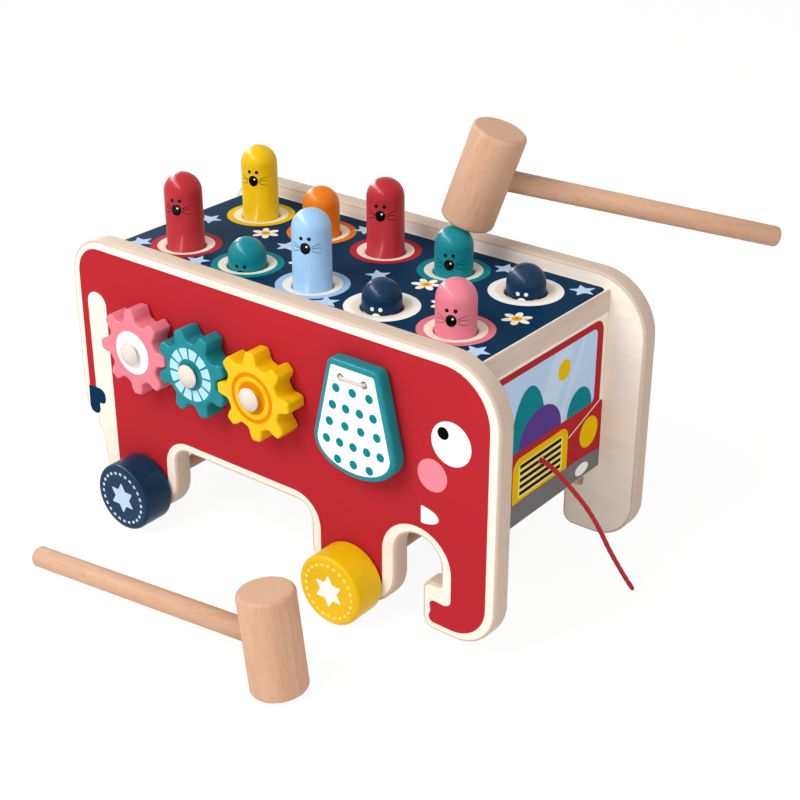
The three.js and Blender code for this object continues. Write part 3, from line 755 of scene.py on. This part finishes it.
PRINT_TOP, PRINT_FRONT, PRINT_FOOT = PANEL_TOP - 5.9, PANEL_FRONT - 6.6, PANEL_FOOT + 6.3
PRINT_BELLY, PRINT_ARCH = BELLY + 5.6, ARCH + 5.4
PRINT_HIND, PRINT_TRUNK = HIND_FRONT - 8.2, TRUNK_REAR + 6.8
FORE_PRINT_REAR, FORE_PRINT_FRONT = FORE_REAR + 6.9, FORE_FRONT - 8.9
LINE_REAR, LINE_FRONT, LINE_LOW, LINE_HIGH = -123.5, -107.6, 75.6, 141.6
PRINT_CORNERS = [
    (PRINT_FRONT, PRINT_TOP, 29.5), (PANEL_REAR + 6.2, PRINT_TOP, 18), (PANEL_REAR + 5.3, LINE_LOW, 0.3),
    (LINE_REAR, LINE_LOW, 0.3), (LINE_REAR, LINE_HIGH, 7.9), (LINE_FRONT, LINE_HIGH, 7.9),
    (LINE_FRONT, PRINT_FOOT, 13.7), (PRINT_HIND, PRINT_FOOT, 13.7), (PRINT_HIND, PRINT_BELLY, 19),
    (FORE_PRINT_REAR, PRINT_BELLY, 19), (FORE_PRINT_REAR, PRINT_FOOT, 13.7),
    (FORE_PRINT_FRONT, PRINT_FOOT, 13.7), (FORE_PRINT_FRONT, PRINT_ARCH, 23.4),
    (PRINT_TRUNK, PRINT_ARCH, 23.4), (PRINT_TRUNK, 28.0, 4), (146.0, 26.4, 1.5), (135.6, 27.2, 3.2),
    (136.9, 19.8, 0.8), (134.4, 12.7, 3.4), (PRINT_FRONT, 12.0, 22),
]
HEART_CORNERS = [
    (-130.2, 75.6, 0.8), (-123.4, 76.0, 2.0), (-115.6, 75.2, 4.4), (-115.6, 65.9, 3.6),
    (-121.5, 65.4, 0.6), (-121.4, 57.2, 4.2), (-130.8, 57.2, 4.6),
]
EYE, PUPIL, CHEEK = (149.0, 126.5, 12.7), (143.8, 131.2, 3.6), (137.2, 104.2, 9.6)
TUSK_X, TUSK_Z, TUSK_REACH, TUSK_HALF = 130.0, 78.5, 11.7, 5.2


def tusk_outline():
    """A blunt tooth with its straight side to the rear."""
    nose = arc(TUSK_X, TUSK_Z, TUSK_REACH, -90, 90, 24, TUSK_HALF)[2:-2]
    ends = [(TUSK_X, TUSK_Z + 5.5, 0.7), (TUSK_X, TUSK_Z - 5.5, 0.9)]
    return rounded(ends + [(x, z, 0) for x, z in nose], 4)


def add_panel_print(word, side):
    art = Art(f"{word}_panel_print", "toy_body", on_side(side, OUTER_Y), mirror=-side)
    art.draw(rounded(PRINT_CORNERS, 12), "red")
    art.draw(rounded(HEART_CORNERS), "navy", 1)
    art.draw(circle(*EYE, steps=64), "white", 1)
    art.draw(circle(*PUPIL), "black", 2)
    art.draw(circle(*CHEEK, steps=64), "cheek", 2)
    art.draw(tusk_outline(), "white", 2)
    art.build()


def add_panels():
    outline = rounded(PANEL_CORNERS, 14)
    for word, side in SIDES.items():
        plate(f"{word}_panel", outline, side * INNER_Y, side * OUTER_Y, ["birch_face", "ply_edge"],
              "toy_body", f"{word}_side_panel")
    for word, side in SIDES.items():
        add_panel_print(word, side)


# Top board

BOARD_EASE = 0.6
BOARD_RIM = [(0.5, 0.0), (0.15, 0.15), (0.0, 0.5), (0.0, BOARD_TOP - BOARD_UNDER)]
HOLE_R, HOLE_SIDES, LIP_ROUND = 12.1, 56, 0.85
DISH = [(17.1, 0.0), (15.4, 0.12), (14.0, 0.35)]
RING_R, RING_HOLE_R = 21.5, 17.2
STARS = [
    (-100, 7), (-31, 2), (40, 0), (-12, 52), (92, 53), (144, 53), (144, -49), (-57, -48), (42, -48),
    (-105, -47),
]
STAR_OUTER, STAR_INNER = 8.2, 3.7
FLOWERS = [(-56, 10, 10), (-6, -12, 40), (70, 6, 25), (95, -10, 5), (137, -2, 50)]
PETAL_REACH, PETAL_HALF, PETAL_WIDE = 5.2, 3.6, 2.1


def peg_places():
    """Each peg's row, column and centre."""
    for row, paints in PEG_PAINT.items():
        for column in range(len(paints)):
            node = f"{row}_peg_{column + 1}"
            yield row, column, middle(node, X), middle(node, Y)


def add_top_board():
    """The board, whose holes go from a shallow dish over a rounded lip to the underside."""
    surface = Surface()
    outline = block(BOARD_REAR, BOARD_FRONT, -BOARD_HALF, BOARD_HALF, BOARD_EASE, steps=3)
    rims = []
    for back, drop in BOARD_RIM:
        rims.append(surface.add([(x, y, BOARD_TOP - drop) for x, y in inset(outline, back)]))
    surface.loft(rims, [1] * len(rims), flats=[2])
    lids = [rims[0]], [rims[-1]]
    lip = arc(HOLE_R + LIP_ROUND, BOARD_TOP - 1.45, LIP_ROUND, 90, 180, 5, 0.9)
    profile = [(radius, BOARD_TOP - drop) for radius, drop in DISH] + lip + [(HOLE_R, BOARD_UNDER)]
    for _, _, x, y in peg_places():
        rings = []
        for radius, z in profile:
            rings.append(surface.add([(u, v, z) for u, v in circle(x, y, radius, steps=HOLE_SIDES)]))
        surface.loft(rings, [2] * (len(rings) - 2) + [0])
        for lid, ring in zip(lids, (rings[0], rings[-1])):
            lid.append(ring[::-1])
    for lid in lids:
        surface.lid(lid, X, Y)
    finish("top_board_wood", surface, ["birch_face", "bare_edge", "birch_round"], "toy_body", ["top_board"])


def draw_flower(art, x, y, turn):
    petal = circle(PETAL_REACH, 0, PETAL_HALF, PETAL_WIDE, steps=20)
    for k in range(6):
        art.draw(spun(petal, turn + 60 * k, x, y), "white" if k % 2 else "cream", 1)
    art.draw(circle(x, y, 3.0, steps=24), "yellow", 2)
    art.draw(circle(x, y, 1.3, steps=16), "orange", 3)


def add_top_print():
    art = Art("top_board_print", "toy_body", lambda u, v, lift: (u, v, BOARD_TOP + lift))
    ground = block(BOARD_REAR + 1.4, BOARD_FRONT - 1.4, 0.7 - BOARD_HALF, BOARD_HALF - 0.7, 5)
    art.draw(ground, "navy", 0, [circle(x, y, RING_R - 0.1, steps=72) for _, _, x, y in peg_places()])
    for row, column, x, y in peg_places():
        paint = PEG_PAINT[row][column]
        hole = circle(x, y, RING_HOLE_R, steps=72)
        art.draw(circle(x, y, RING_R, steps=72), "white" if paint == "navy" else paint, 0, [hole])
    for k, (x, y) in enumerate(STARS):
        art.draw(star(x, y, STAR_OUTER, STAR_INNER, 5, 90 + 23 * k, 0.35), "sky", 1)
    for flower in FLOWERS:
        draw_flower(art, *flower)
    art.build()


# End boards and the bus front printed on one of them

BUS_HALF, BUS_BOTTOM, BUS_SEAM, BUS_TOP = 63.6, 55.2, 97.0, 151.8
CAB_HALF = 60.0
GLASS_HALF, GLASS_BOTTOM, GLASS_TOP = 53.5, 101.0, 147.5
GLARES = ((-6, 14), (22, 27))
HILLS = ((38, 13, 15, "teal"), (-14, 17, 36, "teal"), (-2, 21, 19, "purple"))
SUN = (20, 134, 6.2)
LAMP = (50, 83, 9.7)
FOG_LAMP = (44.5, 60.8, 7, 3.8)
GRILLE_HALF, GRILLE_BOTTOM, GRILLE_TOP = 27.5, 69.0, 96.5
SLAT_HALF, SLAT_WIDE, SLAT_PITCH, SLATS = 20.6, 1.15, 4.2, 5
SLAT_TOP = 90.4
BROW = ((28, 88.2), (28.5, 87.5), (60.6, 99.3), (60.2, 100))


def add_end_boards():
    for end in ("front", "rear"):
        low, high = box_mm(f"{end}_end_board")
        outline = block(low[Y], high[Y], low[Z], high[Z], 0.8, steps=3)
        holes = [circle(0, CORD_HEIGHT, CORD_HOLE_R, steps=24)] if end == "front" else []
        plate(f"{end}_board_wood", outline, high[X], low[X], ["birch_cross"], "toy_body", f"{end}_end_board",
              holes, rounding=0.5, segments=2, axis=X)


def draw_windscreen(art):
    art.draw(block(-GLASS_HALF, GLASS_HALF, GLASS_BOTTOM, GLASS_TOP, 4), "sky", 1)
    for u0, u1 in GLARES:
        low, high = GLASS_BOTTOM + 0.1, GLASS_TOP - 0.1
        art.draw([(u0 + 16, high), (u1 + 16, high), (u1 - 8, low), (u0 - 8, low)], "glare", 2)
    for layer, (u, half, rise, ink) in enumerate(HILLS, 3):
        hill = arc(u, GLASS_BOTTOM + 0.05, half, 180, 0, 32, rise)
        art.draw([p for p in hill if abs(p[0]) < GLASS_HALF - 0.7], ink, layer)
    art.draw(circle(*SUN, steps=40), "yellow", 3)


def draw_lamps(art):
    for sign in (-1, 1):
        art.draw([(sign * u, v) for u, v in BROW], "cream", 2)
        art.draw(circle(sign * LAMP[0], *LAMP[1:], steps=56), "yellow", 2)
        art.draw(circle(sign * FOG_LAMP[0], *FOG_LAMP[1:], steps=40), "white", 3)


def draw_slat(art, z):
    """A dark slot of the grille, in two parts where the cord comes out."""
    low, high = z - SLAT_WIDE, z + SLAT_WIDE
    if not low < CORD_HEIGHT < high:
        art.draw(block(-SLAT_HALF, SLAT_HALF, low, high, 0.4, steps=2), "black", 4)
        return
    inner = CORD_HOLE_R + 0.4
    for sign in (-1, 1):
        ends = [(sign * SLAT_HALF, low, 0.4), (sign * inner, low, 0), (sign * inner, high, 0)]
        art.draw(rounded(ends + [(sign * SLAT_HALF, high, 0.4)], 2), "black", 4)


def draw_grille(art, hole):
    art.draw(block(-GRILLE_HALF, GRILLE_HALF, GRILLE_BOTTOM, GRILLE_TOP, 1, 7), "yellow", 2, [hole])
    art.draw(block(-22, 22, GRILLE_BOTTOM + 2, GRILLE_TOP - 3.9, 1, 3, steps=6), "pale_yellow", 3, [hole])
    for k in range(SLATS):
        draw_slat(art, SLAT_TOP - SLAT_PITCH * k)


def add_bus_print():
    art = Art("front_board_print", "toy_body", lambda u, v, lift: (BOARD_FRONT + lift, u, v))
    hole = circle(0, CORD_HEIGHT, CORD_HOLE_R + CORD_PRINT_GAP, steps=24)
    art.draw(block(-CAB_HALF, CAB_HALF, BUS_SEAM, BUS_TOP, 1, 8), "red")
    art.draw(block(-BUS_HALF, BUS_HALF, 66, BUS_SEAM + 2.5, 0.5, 3, steps=6), "red", 1, [hole])
    top = bezier((BUS_HALF, 66.6), (40, 70.2), (-40, 70.2), (-BUS_HALF, 66.6), steps=24)
    art.draw([(-BUS_HALF, BUS_BOTTOM), (BUS_HALF, BUS_BOTTOM)] + top, "grey", 2)
    draw_windscreen(art)
    draw_lamps(art)
    draw_grille(art, hole)
    art.build()


def dress(node, material):
    """Gives a node of the frame a better material."""
    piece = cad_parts[node]
    piece.data.materials.clear()
    piece.data.materials.append(MATERIALS[material])


# Mole pegs and their faces

COLLAR_R, COLLAR_TALL, COLLAR_DROP = 14.4, 4.0, 62.7
FACE_TURN = radians(22)
# Each bead's drop from the top, way to the right, radius, height and share of tallness
BEADS = {
    "eye_l": (13.9, -2.35, 1.15, 0.2, 1.0),
    "eye_r": (13.9, 2.35, 1.15, 0.2, 1.0),
    "nose": (19.5, 0.0, 3.1, 0.6, 1.12),
    # A white dot of painted highlight on the black nose.
    "nose_painted_glint": (18.4, 0.9, 0.95, 0.65, 1.0),
}
BEAD_SINK = 0.35
WHISKER_DROP, WHISKER_START, WHISKER_LONG, WHISKER_HALF = 19.7, 3.7, 5.6, 0.2
WHISKER_STEPS = 12


def on_peg(x, y, reach, angle, z):
    """A place round a peg at an angle in radians, 0 to -Y and positive to +X."""
    return (x + reach * sin(angle), y - reach * cos(angle), z)


def bead(name, x, y, z, angle, radius, proud, tall, material, body, rows=8, around=24):
    """A low round bead on a peg's side."""
    surface = Surface()
    rings = []
    for i in range(rows + 1):
        a = pi / 2 * i / rows
        reach = PEG_R + proud * sin(a) - (0 if i else BEAD_SINK)
        rim = circle(0, 0, radius * cos(a), tall * radius * cos(a), steps=around)
        rings.append(surface.add([on_peg(x, y, reach, angle + asin(u / PEG_R), z + v) for u, v in rim]))
    surface.loft(rings)
    surface.face(rings[0][::-1])
    finish(name, surface, [material], body)


def add_whisker(surface, x, y, z, side, k):
    """One of three tapering strokes beside the nose, as a strip on the peg."""
    pairs = []
    for i in range(WHISKER_STEPS + 1):
        t = i / WHISKER_STEPS
        turn = FACE_TURN + side * (WHISKER_START + WHISKER_LONG * t) / PEG_R
        height = z + (k - 1) * (1.0 + 1.5 * t) + 0.5 * sin(pi * t) * (1 if k else -1)
        half = WHISKER_HALF * (1 - 0.55 * t)
        pairs.append(surface.add([on_peg(x, y, PEG_R + 0.07, turn, height + v) for v in (half, -half)]))
    for (a, b), (c, d) in zip(pairs, pairs[1:]):
        surface.face((a, b, d, c) if side > 0 else (c, d, b, a))


def add_face(name, body, x, y, top, navy):
    """Eyes, nose and whiskers, white on navy pegs, else black with a painted highlight dot on the nose."""
    for part, (drop, out, radius, proud, tall) in BEADS.items():
        # dot is the white dot of painted highlight on the nose, which the navy pegs go without.
        dot = part == "nose_painted_glint"
        ink = "eye_and_glint_white" if navy or dot else "nose"
        if not (navy and dot):
            turn = FACE_TURN + out / PEG_R
            bead(f"{name}_{part}", x, y, top - drop, turn, radius, proud, tall, ink, body)
    whiskers = Surface()
    for side in (-1, 1):
        for k in range(3):
            add_whisker(whiskers, x, y, top - WHISKER_DROP, side, k)
    finish(f"{name}_whiskers", whiskers, ["print_white" if navy else "print_black"], body, closed=False)


def add_peg(row, column, x, y):
    name = f"{row}_peg_{column + 1}"
    body = f"{row}_mole_{column + 1}"
    paint = PEG_PAINT[row][column]
    foot, top = (corner[Z] for corner in box_mm(name))
    collar = top - COLLAR_DROP
    tail = [(0, foot), (PEG_R - 1, foot), (PEG_R - 0.3, foot + 0.3), (PEG_R, foot + 1)]
    ledge = collar + COLLAR_TALL
    ring = [(PEG_R, collar), (COLLAR_R, collar), (COLLAR_R, ledge), (PEG_R, ledge)]
    profile = tail + ring + arc(0, top - PEG_R, PEG_R, 0, 90, 16)
    slots = [1] * 7 + [0] * (len(profile) - 8)
    peg = turned(f"{name}_painted", profile, [f"paint_{paint}", "beech_z"], body, name, (x, y, 0),
                 around=72, slots=slots, flats=(4, 5, 6))
    add_face(name, body, x, y, top, paint == "navy")


# Wheels

WHEEL_ROUND = 2.2
WHEEL_BORE_DEEP = 14.0
AXLE_HALF, AXLE_EASE = 91.3, 0.35
WHEEL_STAR_OUTER, WHEEL_STAR_INNER = 10.4, 5.9
DASHES, DASH_RADIUS, DASH_LONG, DASH_WIDE = 24, 16.4, 1.1, 0.85
WHEEL_INKS = {"front": ("yellow", "white", "pale_yellow"), "rear": ("navy", "sky", "sky")}


def wheel_profile():
    bore, deep = AXLE_R + 0.1, WHEEL_INNER + WHEEL_BORE_DEEP
    tread = drum(WHEEL_R - 0.02, WHEEL_INNER, WHEEL_OUTER, WHEEL_ROUND, 6)
    return [(0, deep), (bore, deep), (bore, WHEEL_INNER)] + tread + [(0, WHEEL_OUTER)]


def add_wheel_print(name, body, x, side, star_ink, dash_ink):
    art = Art(name, body, on_side(side, WHEEL_OUTER, x, WHEEL_R))
    art.draw(star(0, 0, WHEEL_STAR_OUTER, WHEEL_STAR_INNER, 6, 90, 0.5), star_ink)
    dash = block(DASH_RADIUS - DASH_WIDE, DASH_RADIUS + DASH_WIDE, -DASH_LONG, DASH_LONG, 0.4, steps=3)
    for k in range(DASHES):
        art.draw(spun(dash, 360 * k / DASHES), dash_ink)
    art.build()


def add_axle(end, x, body):
    bar = AXLE_R - AXLE_EASE
    half = [(AXLE_R, AXLE_HALF - 0.4), (bar, AXLE_HALF), (0, AXLE_HALF)]
    profile = [(radius, -height) for radius, height in half[::-1]] + half
    axle = turned(f"{end}_axle_wood", profile, ["beech_y"], body, f"{end}_axle", (x, 0, WHEEL_R), side=-1,
                  around=40, flats=(0, 4))


def add_wheels():
    profile = wheel_profile()
    for end, (paint, star_ink, dash_ink) in WHEEL_INKS.items():
        x, body = middle(f"{end}_axle", X), f"{end}_wheelset"
        for word, side in SIDES.items():
            node = f"{end}_{word}_wheel"
            wheel = turned(f"{node}_painted", profile, [f"paint_{paint}"], body, node, (x, 0, WHEEL_R), side,
                           around=96, flats=(0, 2, len(profile) - 2))
            add_wheel_print(f"{node}_print", body, x, side, star_ink, dash_ink)
        add_axle(end, x, body)


# Gears

TEETH = 8
PRESSURE = radians(27)
BACKLASH = 0.55
GEAR_ROOT, GEAR_SHOULDER, GEAR_TIP = 19.9, 23.6, 26.8
GEAR_START = 3
GEAR_BORE_R = 4.3
GEAR_PAINT = {"rear": "pink", "middle": "teal", "front": "yellow"}
WEDGES, WEDGE_HALF = 12, degrees(0.212)
CAP_R, CAP_EDGE, CAP_GAP, CAP_RISE = 7.0, 1.1, 1.8, 3.4
PIN_R, PIN_DEEP = 4.0, 8.9


def involute(angle):
    return tan(angle) - angle


def gear_outline(x, z, turn):
    """Involute teeth about a centre, the first of them at the angle turn."""
    pitch = GEAR_PITCH / 2
    base = pitch * cos(PRESSURE)
    half_base = (pi * pitch / TEETH - BACKLASH) / (2 * pitch) + involute(PRESSURE)

    def half_width(radius):
        return half_base - involute(acos(base / radius)) if radius > base else half_base

    side = [
        (GEAR_TIP, half_width(GEAR_TIP - 0.4) - 0.01, 1.5),
        (GEAR_SHOULDER, half_width(GEAR_SHOULDER), 6),
        (GEAR_ROOT, half_base + 0.01, 3.2),
    ]
    tooth = [(radius, -half, rounding) for radius, half, rounding in side[::-1]] + side
    corners = []
    for k in range(TEETH):
        for radius, half, rounding in tooth:
            angle = turn + 360 * k / TEETH + degrees(half)
            corners.append((*polar(x, z, radius, angle), rounding))
    return rounded(corners, 8)


def add_gear_print(place, x, body):
    """A disc, a ring of wedges or two rings round the pin."""
    art = Art(f"{place}_gear_print", body, on_side(-1, GEAR_OUTER, x, GEAR_Z))
    if place == "rear":
        art.draw(circle(0, 0, 13.4, steps=72), "white", 0, [circle(0, 0, GEAR_BORE_R + 0.05, steps=40)])
    elif place == "middle":
        for k in range(WEDGES):
            angle = 360 * (k + 0.5) / WEDGES + GEAR_START
            art.draw(wedge(9.6, 16.2, angle - WEDGE_HALF, angle + WEDGE_HALF), "ice")
    else:
        art.draw(circle(0, 0, 9.9, steps=64), "amber", 0, [circle(0, 0, 6.0, steps=64)])
        art.draw(circle(0, 0, 15.2, steps=72), "amber", 0, [circle(0, 0, 12.7, steps=72)])
    art.build()


def pin_profile():
    """A shank with a domed cap that stands off the gear's face."""
    base = GEAR_OUTER + CAP_GAP
    flat, rise = CAP_R - CAP_EDGE, CAP_RISE - CAP_EDGE
    sphere = (flat ** 2 + rise ** 2) / (2 * rise)
    spread = degrees(asin(flat / sphere))
    shank = [(0, OUTER_Y - PIN_DEEP), (PIN_R, OUTER_Y - PIN_DEEP), (PIN_R, base)]
    edge = arc(flat, base + CAP_EDGE, CAP_EDGE, -90, 0, 5)
    return shank + edge + arc(0, base + CAP_RISE - sphere, sphere, 90 - spread, 90, 12)


def add_gears():
    for place, paint in GEAR_PAINT.items():
        x, body = middle(f"{place}_gear_pin", X), f"{place}_gear_wheel"
        turn = 180 / TEETH - GEAR_START if place == "middle" else GEAR_START
        bore = circle(x, GEAR_Z, GEAR_BORE_R, steps=40)
        gear = plate(f"{place}_gear_painted", gear_outline(x, GEAR_Z, turn), -GEAR_OUTER, -GEAR_INNER,
                     [f"paint_{paint}"], body, f"{place}_gear", [bore], rounding=1.3)
        add_gear_print(place, x, body)
        pin = turned(f"{place}_gear_pin_wood", pin_profile(), ["cap_wood"], "toy_body", f"{place}_gear_pin",
                     (x, 0, GEAR_Z), side=-1, around=56, flats=(0, 2))


# Ears

EAR_TALL = EAR_TOP - EAR_LOW
EAR_HALF, EAR_TOP_HALF, EAR_CORNER = 28.1, 17.0, 4.0
EAR_HOLE_OUT, EAR_HOLE_R = 8.0, 2.2
EAR_PRINT_EDGE = 3.3
EAR_DOT_R = 2.6
EAR_DOTS = [
    (16.3, (-11.2, 0, 11.2)),
    (27.0, (-13.8, -4.7, 4.7, 13.8)),
    (37.5, (-16.2, -5.4, 5.4, 16.2)),
    (48.4, (-18.5, -9.3, 0, 9.3, 18.5)),
    (59.0, (-11, 0, 11)),
]
ELASTIC_R, ELASTIC_BEND = 1.0, 2.0


def ear_outline():
    """A drop with a full round bottom, straight sides and a narrow top."""
    chin = (0.62 * EAR_HALF, 0)
    bulge = (1.08 * EAR_HALF, 0.142 * EAR_TALL)
    cheek = (0.985 * EAR_HALF, 0.32 * EAR_TALL)
    slope = atan2(cheek[0] - EAR_TOP_HALF, EAR_TALL - cheek[1])
    start = (EAR_TOP_HALF + EAR_CORNER * sin(slope), EAR_TALL - EAR_CORNER * cos(slope))
    corner = bezier(start, (EAR_TOP_HALF, EAR_TALL), (EAR_TOP_HALF - EAR_CORNER, EAR_TALL), steps=8)
    side = bezier((0, 0), chin, bulge, cheek, steps=20) + corner
    points = side + [(-u, v) for u, v in side[:0:-1]]
    return [(EAR_X + u, EAR_LOW + v) for u, v in points]


def ear_holes(radius):
    return [circle(EAR_X + sign * EAR_HOLE_OUT, EAR_HOLE, radius, steps=28) for sign in (-1, 1)]


def add_ear_print(word, side, body):
    art = Art(f"{word}_ear_print", body, on_side(side, EAR_OUTER), mirror=-side)
    face = inset(tidy(ear_outline()), EAR_PRINT_EDGE)
    art.draw(face, "white", 0, ear_holes(EAR_HOLE_R + 0.1))
    for drop, row in EAR_DOTS:
        for u in row:
            art.draw(circle(EAR_X + u, EAR_TOP - drop, EAR_DOT_R, steps=32), "teal", 1)
    art.build()


def add_elastic(word, side, body):
    """A loop out of the panel, over the ear and back in."""
    half, start, front = EAR_HOLE_OUT, OUTER_Y + 0.35, EAR_OUTER + 0.95
    leg = [(half, start), (half, (start + front) / 2), (half, front - ELASTIC_BEND)]
    leg += [(half - 0.6, front - 0.6), (half - ELASTIC_BEND, front)]
    line = [(-u, v) for u, v in leg] + [(0, front)] + leg[::-1]
    path = smooth_path([(EAR_X + u, side * v, EAR_HOLE) for u, v in line], 8)
    elastic = rope(f"{word}_ear_elastic_braid", path, ELASTIC_R, "elastic", body, f"{word}_ear_elastic",
                   around=16, pitch=3.0, relief=0.08)


def add_ear(word, side):
    body = f"{word}_ear_flap"
    looks = ["paint_teal", "paint_teal", "bare_edge"]
    ear = plate(f"{word}_ear_painted", ear_outline(), side * EAR_INNER, side * EAR_OUTER, looks, body,
                f"{word}_ear", ear_holes(EAR_HOLE_R), rounding=1.7, segments=6)
    add_ear_print(word, side, body)
    add_elastic(word, side, body)


# Mallets, each in a frame of its own: the head along Z, the handle along +X

HEAD_HALF, HEAD_R, HEAD_ROUND = 29.45, 15.9, 2.5
HANDLE_REACH, HANDLE_R, HANDLE_ROUND, HANDLE_START = 191.4, 6.2, 1.5, 4.0
FIRST_X, FIRST_Y, FIRST_TURN = 98.7, -161.3, 179.2
STRIKE_TURNS = ((50.8, "Z"), (15.8, "Y"), (10.3, "X"))
STRIKE_GAP, STRIKE_OFFSET = 0.3, (6, 10.5)


def lying_mallet():
    """The first mallet lies on the rims of its head and its handle's end."""
    face, rim = HEAD_HALF - HEAD_ROUND, HEAD_R - HEAD_ROUND
    run, drop = HANDLE_REACH - HANDLE_ROUND - rim, face - (HANDLE_R - HANDLE_ROUND)
    slope = atan2(drop, run) + asin((HEAD_ROUND - HANDLE_ROUND) / hypot(run, drop))
    height = face * cos(slope) + rim * sin(slope) + HEAD_ROUND
    turn = Matrix.Rotation(radians(FIRST_TURN), 4, "Z") @ Matrix.Rotation(slope, 4, "Y")
    return Matrix.Translation(at(FIRST_X, FIRST_Y, height)) @ turn


def striking_mallet():
    """The second mallet is about to touch the dome of the far teal peg."""
    turn = Matrix.Identity(4)
    for angle, axis in STRIKE_TURNS:
        turn = turn @ Matrix.Rotation(radians(angle), 4, axis)
    peg = "far_peg_4"
    dome = Vector((middle(peg, X), middle(peg, Y), box_mm(peg)[1][Z] - PEG_R))
    centre = dome + turn @ Vector((*STRIKE_OFFSET, PEG_R + STRIKE_GAP + HEAD_HALF))
    return Matrix.Translation(at(*centre)) @ turn


def add_mallet(word, place):
    body = f"{word}_mallet"
    barrel = drum(HEAD_R, -HEAD_HALF, HEAD_HALF, HEAD_ROUND, 7)
    head = [(0, -HEAD_HALF)] + barrel + [(0, HEAD_HALF)]
    tip = arc(HANDLE_R - HANDLE_ROUND, HANDLE_REACH - HANDLE_ROUND, HANDLE_ROUND, 0, 90, 6)
    rod = [(0, HANDLE_START), (HANDLE_R, HANDLE_START)] + tip + [(0, HANDLE_REACH)]
    along_x = place @ Matrix.Rotation(radians(90), 4, "Y")
    for part, profile, around, matrix in (("head", head, 96, place), ("handle", rod, 48, along_x)):
        last = len(profile) - 2
        slots = [1] + [0] * (last - 1) + [1]
        piece = turned(f"{body}_{part}_wood", profile, ["beech_z", "beech_end"], body, f"{body}_{part}",
                       around=around, slots=slots, flats=(0, last), place=matrix)


# The whole scene, with the camera and the cord first

add_camera()
add_world()
add_lamps()
add_floor()
add_cord()
add_panels()
add_top_board()
add_top_print()
add_end_boards()
add_bus_print()
dress("guide_board", "birch_face")
dress("cord_knot", "cord")
for peg_place in peg_places():
    add_peg(*peg_place)
add_wheels()
add_gears()
for word, side in SIDES.items():
    add_ear(word, side)
add_mallet("first", lying_mallet())
add_mallet("second", striking_mallet())
bpy.context.scene.view_settings.view_transform = "Standard"
